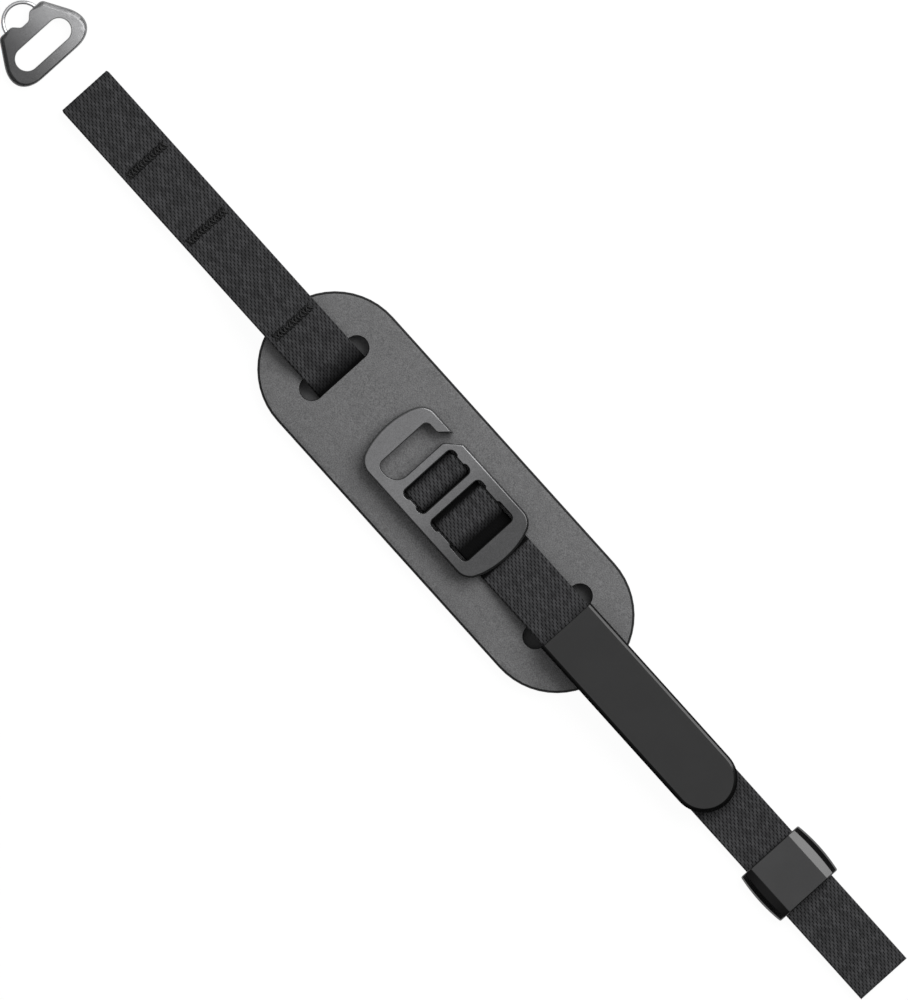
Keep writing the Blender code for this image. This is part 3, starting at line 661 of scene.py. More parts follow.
def slice_rows(bm: bmesh.types.BMesh, axis: Axis, start: float, stop: float, count: int) -> None:
    """Cuts a shape along evenly spaced planes, so that it can be bent between them.

    Args:
        bm: The bmesh.
        axis: The way that the planes face.
        start: Place of the shape's near side along the axis.
        stop: Place of its far side.
        count: The number of spaces between the planes.
    """
    normal = axis.vector()
    for k in range(1, count):
        at = start + (stop - start) * k / count
        geometry = bm.verts[:] + bm.edges[:] + bm.faces[:]
        bmesh.ops.bisect_plane(
            bm, geom=geometry, dist=MERGE_DISTANCE, plane_co=normal * at, plane_no=normal,
        )


def square_off(bm: bmesh.types.BMesh) -> None:
    """Cuts away what lies before x = 0, and closes the cut.

    Args:
        bm: The bmesh.
    """
    geometry = bm.verts[:] + bm.edges[:] + bm.faces[:]
    cut = bmesh.ops.bisect_plane(
        bm, geom=geometry, dist=MERGE_DISTANCE, plane_co=(0.0, 0.0, 0.0), plane_no=(1.0, 0.0, 0.0),
        clear_inner=True,
    )
    border = [item for item in cut["geom_cut"] if isinstance(item, bmesh.types.BMEdge)]
    bmesh.ops.edgeloop_fill(bm, edges=border)


def stadium(x: float, y: float, length: float, width: float) -> list[Corner]:
    """Corners of a long outline with round ends.

    Args:
        x: Its middle along X.
        y: Its middle along Y.
        length: Its size along X.
        width: Its size along Y.

    Returns:
        The corners.
    """
    a, b = length / 2, width / 2
    r = min(a, b) - SEAM_DISTANCE / 4
    return [(x - a, y - b, r), (x + a, y - b, r), (x + a, y + b, r), (x - a, y + b, r)]


def tube(name: str, path: list[Vector], radius: float, finish: bpy.types.Material) -> bpy.types.Object:
    """A round wire or thread along a path, made a mesh.

    Args:
        name: The piece's name.
        path: Its middle line.
        radius: Its radius.
        finish: Its material.

    Returns:
        The piece.
    """
    curve = bpy.data.curves.new(name, "CURVE")
    curve.dimensions = "3D"
    curve.bevel_depth = radius
    curve.bevel_resolution = 2
    curve.use_fill_caps = True
    spline = curve.splines.new("POLY")
    spline.points.add(len(path) - 1)
    for point, place in zip(spline.points, path):
        point.co = (*place, 1.0)
    source = bpy.data.objects.new(name + "_line", curve)
    bpy.context.scene.collection.objects.link(source)
    graph = bpy.context.evaluated_depsgraph_get()
    mesh = bpy.data.meshes.new_from_object(source.evaluated_get(graph))
    bpy.data.objects.remove(source)
    mesh.materials.clear()
    mesh.shade_smooth()
    return new_object(name, mesh, [finish])


@dataclass
class Route:
    """Middle line of a strip in the XZ plane, through corners that are rounded."""

    corners: list[Corner]

    def line(self) -> list[Vector]:
        """Rounds the corners by fine arcs.

        Returns:
            The points of the line.
        """
        points = [Vector(self.corners[0][:2])]
        for i in range(1, len(self.corners) - 1):
            here = Vector(self.corners[i][:2])
            before = (Vector(self.corners[i - 1][:2]) - here).normalized()
            after = (Vector(self.corners[i + 1][:2]) - here).normalized()
            points.extend(self.arc(here, before, after, self.corners[i][2]))
        points.append(Vector(self.corners[-1][:2]))
        return points

    @staticmethod
    def arc(here: Vector, before: Vector, after: Vector, radius: float) -> list[Vector]:
        """Points of the arc that rounds one corner.

        Args:
            here: The corner.
            before: Unit vector to the corner before it.
            after: Unit vector to the corner after it.
            radius: The arc's radius.

        Returns:
            The arc's points.
        """
        angle = before.angle(after)
        centre = here + (before + after).normalized() * (radius / math.sin(angle / 2))
        start = here + before * (radius / math.tan(angle / 2)) - centre
        first = math.atan2(start.y, start.x)
        turn = math.copysign(math.pi - angle, after.cross(before))
        count = max(2, math.ceil(abs(turn) / ROUTE_ARC_STEP))
        angles = [first + turn * k / count for k in range(count + 1)]
        return [centre + Vector((math.cos(a), math.sin(a))) * radius for a in angles]

    def stations(self, pitch: float) -> list[tuple[Vector, Vector, float]]:
        """Evenly spaced places along the line.

        Args:
            pitch: The wanted spacing.

        Returns:
            For each station its point, its left normal and its way from the start.
        """
        points = self.line()
        ways = [0.0]
        for a, b in zip(points, points[1:]):
            ways.append(ways[-1] + (b - a).length)
        count = round(ways[-1] / pitch)
        spots = []
        i = 0
        for k in range(count + 1):
            way = ways[-1] * k / count
            while i < len(ways) - 2 and ways[i + 1] < way:
                i += 1
            share = (way - ways[i]) / max(ways[i + 1] - ways[i], MERGE_DISTANCE)
            spots.append((points[i].lerp(points[i + 1], share), way))
        result = []
        for k, (point, way) in enumerate(spots):
            tangent = (spots[min(k + 1, count)][0] - spots[max(k - 1, 0)][0]).normalized()
            result.append((point, Vector((-tangent.y, tangent.x)), way))
        return result


@dataclass
class WovenStrip:
    """A strip of webbing along a route, woven in geometry on both faces."""

    name: str
    nodes: tuple[str, ...]
    route: Route
    # Painted shade in the slots: full at the low height, none at the high one, and only within the reach
    # along X.
    slot_shade_low: float
    slot_shade_high: float
    slot_shade_reach: float
    width: float = WEBBING_WIDTH
    thickness: float = WEBBING_THICKNESS
    rows: int = 25
    period: float = WEAVE_PERIOD
    picks: int = 4
    lift: float = 0.05 * MM
    pit: float = 0.13 * MM
    valley: float = 0.045 * MM
    lean: float = 0.07 * MM
    crest_power: float = 0.6
    selvedge_wave: float = 0.05 * MM
    fold_calm: float = 0.75

    def relief(self, way: float, line: int, side: Side) -> tuple[float, float]:
        """Height over the plain face, and the shift across, at one point of the weave.

        Args:
            way: Way along the strip.
            line: Which line across: odd ones run along the yarns, even ones between them.
            side: The face.

        Returns:
            The height and the shift.
        """
        if line % 2 == 0:
            return -self.valley, 0.0
        row = line // 2
        phase = way / self.period + 0.5 * (row % 2) + (0.0 if side is Side.LEFT else 0.5)
        crest = (0.5 - 0.5 * math.cos(2 * math.pi * phase)) ** self.crest_power
        return (self.lift + self.pit) * crest - self.pit, self.lean * math.sin(2 * math.pi * phase)

    def slot_shade(self, point: Vector) -> float:
        """Share of painted shade at a point, from how far it is tucked down into a slot.

        Args:
            point: The point, in the XZ plane.

        Returns:
            0 for a point with no painted shade, and 1 for one that is right down, which is darkest.
        """
        if abs(point.x) > self.slot_shade_reach:
            return 0.0
        share = (self.slot_shade_high - point.y) / (self.slot_shade_high - self.slot_shade_low)
        return min(1.0, max(0.0, share))

    def face(self, bm: bmesh.types.BMesh, weave: bmesh.types.BMLayerItem, side: Side) -> None:
        """Adds one woven face.

        Args:
            bm: The bmesh.
            weave: Its layer for the places in the weave, and the share of painted shade down in a slot.
            side: The face.
        """
        stations = self.route.stations(self.period / self.picks)
        along, across = len(stations) - 1, 2 * self.rows
        made = bmesh.ops.create_grid(bm, x_segments=along, y_segments=across, size=0.5)
        half = self.thickness / 2
        for vert in made["verts"]:
            k = round((vert.co.x + 0.5) * along)
            line = round((vert.co.y + 0.5) * across)
            point, normal, way = stations[k]
            rise, shift = self.relief(way, line, side)
            rise *= 1.0 - self.fold_calm * abs(normal.x)
            y = self.width * (line / across - 0.5)
            if line in (0, across):
                wave = self.selvedge_wave * math.cos(2 * math.pi * way / self.period)
                height, y = 0.0, y + math.copysign(wave, y) - math.copysign(self.selvedge_wave, y)
            elif k in (0, along):
                height = 0.0
            else:
                height, y = half + rise, y + shift
            place = point + normal * height * side.value
            vert.co = (place.x, y, place.y)
            # Way along, place across, and the share of painted shade for a stretch down in a slot.
            vert[weave] = (way, self.width * line / across, self.slot_shade(point))

    def build(self, finish: bpy.types.Material) -> bpy.types.Object:
        """Builds the strip and puts it in the place of its node.

        Args:
            finish: The webbing's material.

        Returns:
            The piece.
        """
        bm = bmesh.new()
        weave = bm.verts.layers.float_vector.new("weave")
        for side in Side:
            self.face(bm, weave, side)
        obj = close_up(self.name, bm, [finish], creased=False)
        return place_piece(obj, Body.STRAP, Slot.WEBBING, *self.nodes)


def place_piece(obj: bpy.types.Object, body: Body, slot: Slot, *nodes: str) -> bpy.types.Object:
    """Lets a piece ride on a body, and hides the nodes that it stands for.

    Args:
        obj: The piece.
        body: The body that carries it.
        slot: The record's material slot; not used.
        nodes: The frame's nodes that it replaces.

    Returns:
        The piece.
    """
    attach(obj, body.value)
    if nodes:
        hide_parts(*nodes)
    LOG.info("%s: %d polygons on %s", obj.name, len(obj.data.polygons), body.value)
    return obj


@dataclass
class Layout:
    """Heights and stations that the strips share, worked out from the frame's own boxes."""

    gap: float = 0.3 * MM
    webbing: float = WEBBING_THICKNESS
    tack_head: float = 0.3 * MM
    bend: float = 1.0 * MM
    sweep: float = 9.0 * MM
    approach: float = 1.9 * MM
    approach_run: float = 16.5 * MM
    tail_end: float = 7.1 * MM
    slot_width: float = 5.9 * MM
    slot_spacing: float = 81.7 * MM
    slot_length: float = 20.7 * MM
    dive_entry: float = 0.4 * MM
    dive_exit: float = 0.7 * MM
    level_off: float = 2.2 * MM
    keeper_run: float = 2.0 * MM
    tab_clear: float = 0.1 * MM
    tab_length: float = 58.8 * MM
    pad: Box = field(default_factory=lambda: (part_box("pad_core")[0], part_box("hand_pad")[1]))
    lining: Box = field(default_factory=lambda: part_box("pad_lining"))
    strap: Box = field(default_factory=lambda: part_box("main_webbing"))
    lower_end: float = field(default_factory=lambda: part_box("lower_webbing")[1].x)
    buckle: Box = field(default_factory=lambda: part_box("buckle"))

    def __post_init__(self) -> None:
        """Works out the heights of the strips' middle lines."""
        self.pitch = self.webbing + self.gap
        self.pad_end = self.pad[1].x
        self.slot_inner = (self.slot_spacing - self.slot_width) / 2
        self.slot_outer = (self.slot_spacing + self.slot_width) / 2
        self.on_pad = self.pad[1].z + self.gap + self.webbing / 2
        self.in_pad = self.lining[1].z + self.gap + self.webbing / 2
        self.folded_low = self.strap[0].z + self.webbing / 2
        self.folded_on_pad = self.on_pad + self.tack_head + self.gap
        self.tab_start = self.slot_outer + self.tab_clear
        self.tab_reach = self.tab_start + self.tab_length
        self.level_x = self.tab_reach - self.level_off
        self.slope = (self.on_pad - self.keeper_run) / (self.level_x - self.pad_end)
        self.slope_x = self.slot_outer + self.dive_exit
        self.slope_top = self.on_pad + self.slope * (self.pad_end - self.slope_x)
        self.lift = self.pitch / math.cos(math.atan(self.slope))

    def slope_z(self, x: float) -> float:
        """Height of the main strip's middle on its slope under the tab."""
        return self.slope_top - self.slope * (x - self.slope_x)

    def main_route(self) -> Route:
        """Way of the main strip: folded at its upper end, through the pad, to its lower end.

        Returns:
            The route.
        """
        step_x = -self.pad_end - self.approach
        foot_x = step_x - self.approach_run
        fold_x = self.strap[0].x + self.webbing / 2
        tail_x = -self.pad_end + self.tail_end
        low, high = self.folded_low, self.folded_on_pad
        return Route([
            (tail_x, high, 0.0),
            (step_x, high, self.sweep),
            (foot_x, low, self.sweep),
            (fold_x, low, self.pitch / 2),
            (fold_x, low + self.pitch, self.pitch / 2),
            (foot_x, low + self.pitch, self.sweep),
            (step_x, high + self.pitch, self.sweep),
            (tail_x + self.webbing, high + self.pitch, self.bend),
            (-self.slot_outer + self.dive_entry, self.on_pad, self.bend),
            (-self.slot_inner - self.dive_exit, self.in_pad, self.bend),
            (self.slot_inner + self.dive_exit, self.in_pad, self.bend),
            (self.slope_x, self.slope_top, self.bend),
            (self.level_x, self.keeper_run, self.sweep),
            (self.lower_end, self.keeper_run, 0.0),
        ])


@dataclass
class Buckle:
    """The hooked frame: three upper bars, two lower bars between them, and an open hook slot."""

    layout: Layout
    hook_bar: float = 5.95 * MM
    hook_slot: float = 6.55 * MM
    first_bar: float = 2.35 * MM
    first_slot: float = 7.45 * MM
    middle_bar: float = 2.5 * MM
    second_slot: float = 13.1 * MM
    rail: float = 3.0 * MM
    end_radius: float = 24.0 * MM
    corner: float = 4.2 * MM
    edge_facets: tuple[Step, ...] = ((0.4 * MM, 0.36 * MM), (0.11 * MM, 0.05 * MM), (0.06 * MM, 0.01 * MM))
    slot_edge_share: float = 0.5
    under_edge: float = 0.3 * MM
    slot_corner: float = 1.3 * MM
    shoulder_step: float = 0.45 * MM
    shoulder_radius: float = 0.5 * MM
    throat: float = 2.4 * MM
    throat_step: float = 0.55 * MM
    heel: float = 3.8 * MM
    toe: float = 1.8 * MM
    nose: float = 1.2 * MM
    tip: float = 0.0
    lower_thickness: float = 1.8 * MM
    lower_round: float = 0.3 * MM
    first_lower: float = 2.4 * MM
    second_lower: float = 4.3 * MM
    second_lower_inset: float = 3.0 * MM
    tail_lap: float = 1.3 * MM
    end_inset: float = 6.2 * MM
    ramp_angle: float = math.radians(42)
    steep_ramp: float = math.radians(66)

    def __post_init__(self) -> None:
        """Works out the stations along the buckle from its box in the frame."""
        self.low, self.high = self.layout.buckle
        self.half = self.high.y
        self.slot_half = self.half - self.rail
        self.shoulder_half = WEBBING_WIDTH / 2 + self.layout.gap / 3
        self.hook_x = (self.low.x + self.hook_bar, self.low.x + self.hook_bar + self.hook_slot)
        first = self.hook_x[1] + self.first_bar
        self.first_x = (first, first + self.first_slot)
        second = self.first_x[1] + self.middle_bar
        self.second_x = (second, second + self.second_slot)
        middle = (self.first_x[0] + self.first_x[1]) / 2
        self.first_lower_x = (middle - self.first_lower / 2, middle + self.first_lower / 2)
        start = second + self.second_lower_inset
        self.second_lower_x = (start, start + self.second_lower)
        self.channel_top = self.low.z + self.layout.pitch
        self.lower_top = self.low.z + self.lower_thickness
        self.over_bar = self.lower_top + self.layout.gap + self.layout.webbing / 2
        self.tail_x = self.hook_x[1] + self.tail_lap

    def end_arc(self, side: int, count: int = 6) -> list[Corner]:
        """Points of one bowed end.

        Args:
            side: 1 for the end nearer to the strap's lower end, and -1 for the other.
            count: The number of points on each half of the bow.

        Returns:
            The corners, from the rounded one before the bow to the rounded one after it.
        """
        bow = self.end_radius - math.sqrt(self.end_radius**2 - self.half**2)
        end_x = self.high.x if side > 0 else self.low.x
        inner = self.half - self.corner
        points = [(end_x - side * bow, -side * self.half, self.corner)]
        for k in range(-count, count + 1):
            y = side * k / count * inner
            sag = self.end_radius - math.sqrt(self.end_radius**2 - y**2)
            points.append((end_x - side * sag, y, 0.0))
        points.append((end_x - side * bow, side * self.half, self.corner))
        return points

    def outside(self) -> list[Corner]:
        """The outer outline, with the hook slot let into it through its slanted throat.

        Returns:
            The outline's corners.
        """
        x0, x1 = self.hook_x
        throat_y = self.slot_half - self.throat_step
        nose_x = x1 - (self.throat * math.sqrt(2) - self.throat_step)
        body = [
            (x1 + self.half - throat_y, self.half, self.slot_corner),
            (x1, throat_y, self.slot_corner),
            (x1, -self.slot_half, self.heel),
            (x0, -self.slot_half, self.toe),
            (x0, self.slot_half, self.slot_corner),
            (nose_x, self.slot_half, self.nose),
            (nose_x + self.half - self.slot_half, self.half, self.tip),
        ]
        return self.end_arc(1) + body + self.end_arc(-1)

    def woven_slot(self, x: tuple[float, float], bar: tuple[float, float]) -> list[Corner]:
        """A slot for the webbing, narrowed by a shoulder at each end of its lower bar.

        Args:
            x: Where the slot starts and stops.
            bar: Where its lower bar starts and stops.

        Returns:
            The slot's corners.
        """
        r, step = self.shoulder_radius, self.shoulder_step
        near = [
            (x[0], -self.slot_half, self.slot_corner),
            (bar[0] - step, -self.slot_half, r),
            (bar[0], -self.shoulder_half, r),
            (bar[1], -self.shoulder_half, r),
            (bar[1] + step, -self.slot_half, r),
            (x[1], -self.slot_half, self.slot_corner),
        ]
        return near + [(a, -b, c) for a, b, c in reversed(near)]

    def edge_share(self, x: float, y: float) -> float:
        """Part of the edge's width at a place: full outside, and less in the slots."""
        outside = abs(y) > self.half - self.rail / 2 or abs(x) > self.high.x - self.hook_bar / 2
        return 1.0 if outside else self.slot_edge_share

    def ramp(self, corner_x: float, wall_x: float, least: float) -> tuple[Corner, Corner]:
        """Both ends of the strip's slope from over a lower bar to under an upper one.

        Args:
            corner_x: Edge of the lower bar.
            wall_x: Edge of the upper bar.
            least: The least angle of the slope.

        Returns:
            The slope's high and low corners.
        """
        gap, webbing, bend = self.layout.gap, self.layout.webbing, self.layout.bend
        side = math.copysign(1.0, wall_x - corner_x)
        way = abs(wall_x - corner_x)
        lap = self.lower_top - self.channel_top
        room = (webbing + 2 * gap) / math.hypot(way, lap)
        angle = max(least, math.asin(min(1.0, room)) + math.atan2(lap, way))
        reach = webbing / 2 + gap
        line_x = corner_x + side * math.sin(angle) * reach
        line_z = self.lower_top + math.cos(angle) * reach
        high_x = line_x + side * (line_z - self.over_bar) / math.tan(angle)
        low_x = line_x + side * (line_z - self.layout.on_pad) / math.tan(angle)
        return (high_x, self.over_bar, bend), (low_x, self.layout.on_pad, bend)

    def adjuster_route(self) -> Route:
        """Way of the short strip: woven through the buckle, then up and along under the tab.

        Returns:
            The route.
        """
        lay = self.layout
        ramps = [
            self.ramp(self.first_lower_x[0], self.first_x[0], self.ramp_angle),
            self.ramp(self.first_lower_x[1], self.first_x[1], self.ramp_angle),
            self.ramp(self.second_lower_x[0], self.second_x[0], self.steep_ramp),
            self.ramp(self.second_lower_x[1], self.second_x[1], self.ramp_angle),
        ]
        crest_x = lay.tab_start - lay.webbing
        end_x = lay.tab_reach - self.end_inset
        return Route([
            (self.tail_x, lay.on_pad, 0.0),
            ramps[0][1], ramps[0][0], ramps[1][0], ramps[1][1],
            ramps[2][1], ramps[2][0], ramps[3][0], ramps[3][1],
            (self.high.x + lay.webbing, lay.on_pad, lay.sweep),
            (crest_x, lay.slope_z(crest_x) + lay.lift, lay.bend),
            (end_x, lay.slope_z(end_x) + lay.lift, 0.0),
        ])

    @staticmethod
    def tool(name: str, low: Place, high: Place, ease: float = 0.0) -> bpy.types.Object:
        """Makes a box for cutting or joining.

        Args:
            name: Its name.
            low: Its lowest corner.
            high: Its highest corner.
            ease: Radius of its edges.

        Returns:
            The box, which is no piece of its own.
        """
        bm = bmesh.new()
        size = Vector(high) - Vector(low)
        place = Matrix.Translation((Vector(low) + Vector(high)) / 2) @ Matrix.Diagonal((*size, 1.0))
        bmesh.ops.create_cube(bm, size=1.0, matrix=place)
        if ease:
            bmesh.ops.bevel(
                bm, geom=bm.edges[:], offset=ease, segments=3, profile=0.5, affect="EDGES",
                clamp_overlap=False, material=-1,
            )
        return close_up(name, bm, [])

    def build(self, face: bpy.types.Material, edge: bpy.types.Material) -> bpy.types.Object:
        """Builds the frame.

        Args:
            face: The blasted flats.
            edge: The smoother walls and rounded edges.

        Returns:
            The piece.
        """
        outlines = [
            self.outside(),
            self.woven_slot(self.first_x, self.first_lower_x),
            self.woven_slot(self.second_x, self.second_lower_x),
        ]
        top, bottom = list(self.edge_facets), fillet(self.under_edge, 3)
        slab = Slab(outlines, self.low.z, self.high.z, top, bottom, self.edge_share)
        obj = close_up("buckle_frame", slab.shape(), [face, edge])
        gap, reach = self.layout.gap, self.slot_half + self.rail / 2
        tools = [self.tool(
            "channel",
            (self.tail_x - gap, -self.shoulder_half, self.low.z - gap),
            (self.high.x + gap, self.shoulder_half, self.channel_top),
        )]
        lower_bars = {"first_lower_bar": self.first_lower_x, "second_lower_bar": self.second_lower_x}
        for name, (start, stop) in lower_bars.items():
            low, high = (start, -reach, self.low.z), (stop, reach, self.lower_top)
            tools.append(self.tool(name, low, high, self.lower_round))
        for tool in tools:
            modifier = obj.modifiers.new(tool.name, "BOOLEAN")
            modifier.operation = "UNION" if tool.name in lower_bars else "DIFFERENCE"
            modifier.object = tool
        bake_modifiers(obj)
        for tool in tools:
            bpy.data.objects.remove(tool)
        obj.data.set_sharp_from_angle(angle=SMOOTH_ANGLE)
        for polygon in obj.data.polygons:
            polygon.use_smooth = abs(polygon.normal.z) < FLAT_NORMAL
        return place_piece(obj, Body.STRAP, Slot.BUCKLE, "buckle")


@dataclass
class HandPad:
    """The pad: a suede face, a sealed dark rim, two slots, and the lining that closes it."""

    layout: Layout
    rim_width: float = 0.58 * MM
    rim_drop: float = 1.1 * MM
    rim_facets: tuple[Step, ...] = ((0.3, 0.55), (0.4, 0.35), (0.3, 0.1))
    slot_rim_share: float = 0.3
    seam: float = 0.2 * MM
    unevenness: float = 0.05 * MM
    unevenness_scale: float = 180.0
    crown: float = 0.7 * MM
    rows: int = 20
    columns: int = 60

    def slots(self) -> list[list[Corner]]:
        """The two cross slots.

        Returns:
            Their corners, slot by slot.
        """
        lay = self.layout
        xs = (-lay.slot_spacing / 2, lay.slot_spacing / 2)
        return [stadium(x, 0.0, lay.slot_width, lay.slot_length) for x in xs]

    def rim_share(self, x: float, y: float) -> float:
        """Part of the rim's width at a place: all of it outside, and little in the slots.

        Args:
            x: Place along the strap.
            y: Place across it.

        Returns:
            The part, from 0 to 1.
        """
        reach_x = self.layout.slot_outer + self.seam
        reach_y = self.layout.slot_length / 2 + self.seam
        return self.slot_rim_share if abs(x) < reach_x and abs(y) < reach_y else 1.0

    def build(self, face: bpy.types.Material, edge: bpy.types.Material) -> bpy.types.Object:
        """Builds the pad itself.

        Args:
            face: The suede.
            edge: The sealed rim.

        Returns:
            The piece.
        """
        low, high = self.layout.pad
        outlines = [stadium(0.0, 0.0, high.x - low.x, high.y - low.y)] + self.slots()
        top = [(self.rim_width * inset, self.rim_drop * rise) for inset, rise in self.rim_facets]
        slab = Slab(outlines, low.z, high.z, top, [(self.seam, self.seam)], self.rim_share)
        bm = slab.shape()
        slice_rows(bm, Axis.ALONG, low.x, high.x, self.columns)
        slice_rows(bm, Axis.ACROSS, low.y, high.y, self.rows)
        for vert in bm.verts:
            if vert.co.z > high.z - MERGE_DISTANCE:
                vert.co.z += self.unevenness * noise.noise(vert.co * self.unevenness_scale)
            if vert.co.z > high.z - self.rim_drop - MERGE_DISTANCE:
                vert.co.z -= self.crown * (vert.co.y / high.y) ** 2
        obj = close_up("pad_suede", bm, [face, edge])
        return place_piece(obj, Body.STRAP, Slot.PAD, "hand_pad", "pad_core")

    def build_lining(self, finish: bpy.types.Material, edge: bpy.types.Material) -> bpy.types.Object:
        """Builds the thin sheet under the pad.

        Args:
            finish: Its smooth face.
            edge: The sealed rim.

        Returns:
            The piece.
        """
        low, high = self.layout.lining
        outline = stadium(0.0, 0.0, high.x - low.x, high.y - low.y)
        slab = Slab([outline], low.z, high.z, [(self.seam, self.seam)], fillet(self.seam, 2))
        obj = close_up("pad_lining_sheet", slab.shape(), [finish, edge])
        return place_piece(obj, Body.STRAP, Slot.PAD, "pad_lining")


@dataclass
class PullTab:
    """The moulded tab: square start, half-round end, chamfered top edge, laid on the slope."""

    layout: Layout
    overhang: float = 0.7 * MM
    thickness: float = 2.0 * MM
    side_lean: float = 0.42 * MM
    side_height: float = 0.29 * MM
    chamfer_width: float = 0.6 * MM
    chamfer_drop: float = 0.28 * MM
    chamfer_ease: float = 0.1 * MM
    side_round: float = 0.2 * MM

    def build(self, face: bpy.types.Material, edge: bpy.types.Material) -> bpy.types.Object:
        """Builds the tab.

        Args:
            face: The satin top and underside.
            edge: The gloss of its sides and chamfer.

        Returns:
            The piece.
        """
        lay = self.layout
        half, length = WEBBING_WIDTH / 2 + self.overhang, lay.tab_length
        r = half - SEAM_DISTANCE / 4
        outline = [(-half, -half, 0.0), (length, -half, r), (length, half, r), (-half, half, 0.0)]
        top = [(self.side_lean, self.side_height)]
        top += soft_chamfer(self.chamfer_width, self.chamfer_drop, self.chamfer_ease)
        slab = Slab([outline], 0.0, self.thickness, top, fillet(self.side_round, 2))
        bm = slab.shape()
        square_off(bm)
        angle = math.atan(lay.slope)
        seat = lay.lift + (lay.webbing / 2 + lay.gap) / math.cos(angle)
        place = Matrix.Translation((lay.tab_start, 0.0, lay.slope_z(lay.tab_start) + seat))
        bmesh.ops.transform(bm, matrix=place @ Matrix.Rotation(angle, 4, "Y"), verts=bm.verts)
        obj = close_up("pull_tab_moulding", bm, [face, edge])
        soften_shading(obj)
        return place_piece(obj, Body.STRAP, Slot.TAB, "pull_tab")


@dataclass
class Keeper:
    """The sliding loop: flat top, bright shoulders, sides that bow out, rounded mouths."""

    layout: Layout
    side_room: float = 0.4 * MM
    side_wall: float = 1.5 * MM
    bulge: float = 0.6 * MM
    base: float = 1.1 * MM
    shoulder_width: float = 1.85 * MM
    shoulder_drop: float = 1.0 * MM
    side_drop: float = 1.0 * MM
    foot_width: float = 0.36 * MM
    foot_drop: float = 0.8 * MM
    corner: float = 0.7 * MM
    foot_round: float = 0.3 * MM
    shoulder_round: float = 0.5 * MM
    window_round: float = 0.2 * MM
    flat_inset: float = 1.35 * MM
    mouth: float = 0.35 * MM
    stations: int = 12
    top_normal: float = 0.97
    top_depth: float = 0.3 * MM

    def build(self, top: bpy.types.Material, gloss: bpy.types.Material) -> bpy.types.Object:
        """Builds the loop.

        Args:
            top: Finish of its flat top.
            gloss: Finish of the rest.

        Returns:
            The piece.
        """
        low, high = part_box("keeper")
        room = WEBBING_WIDTH / 2 + self.side_room
        half = room + self.side_wall
        flat_y = WEBBING_WIDTH / 2 - self.flat_inset
        shoulder_y = flat_y + self.shoulder_width
        shoulder_z = high.z - self.shoulder_drop
        foot_z = shoulder_z - self.side_drop
        right = [
            (shoulder_y, 0.0, self.base),
            (half, self.base, self.corner),
            (half, foot_z - self.foot_drop, self.foot_round),
            (half - self.foot_width, foot_z, self.foot_round),
            (shoulder_y, shoulder_z, self.shoulder_round),
            (flat_y, high.z, self.shoulder_round),
        ]
        section = right + [(-y, z, r) for y, z, r in reversed(right)]
        window_low = self.layout.keeper_run - self.layout.webbing / 2 - self.layout.gap
        window_high = self.layout.keeper_run + self.layout.webbing / 2 + self.layout.gap
        window = [
            (-room, window_low, self.window_round), (room, window_low, self.window_round),
            (room, window_high, self.window_round), (-room, window_high, self.window_round),
        ]
        slab = Slab([section, window], low.x, high.x, fillet(self.mouth), fillet(self.mouth))
        bm = slab.shape()

        # The section is drawn in XY and stood up: its x turns to Y, its y to Z and its height to X.
        stand = Matrix(((0, 0, 1, 0), (1, 0, 0, 0), (0, 1, 0, 0), (0, 0, 0, 1)))
        bmesh.ops.transform(bm, matrix=stand, verts=bm.verts)
        slice_rows(bm, Axis.ALONG, low.x, high.x, self.stations)
        middle, reach = (low.x + high.x) / 2, (high.x - low.x) / 2
        for vert in bm.verts:
            share = max(0.0, (abs(vert.co.y) - flat_y) / (half - flat_y))
            if abs(vert.co.y) <= room + MERGE_DISTANCE and window_low <= vert.co.z <= window_high:
                share = 0.0
            bow = self.bulge * (1.0 - ((vert.co.x - middle) / reach) ** 2)
            vert.co.y += math.copysign(share * bow, vert.co.y)
        bm.normal_update()
        for face in bm.faces:
            high_up = face.calc_center_median().z > high.z - self.top_depth
            face.material_index = 0 if high_up and face.normal.z > self.top_normal else 1
        obj = close_up("keeper_loop", bm, [top, gloss])
        soften_shading(obj)
        return place_piece(obj, Body.KEEPER, Slot.KEEPER, "keeper")


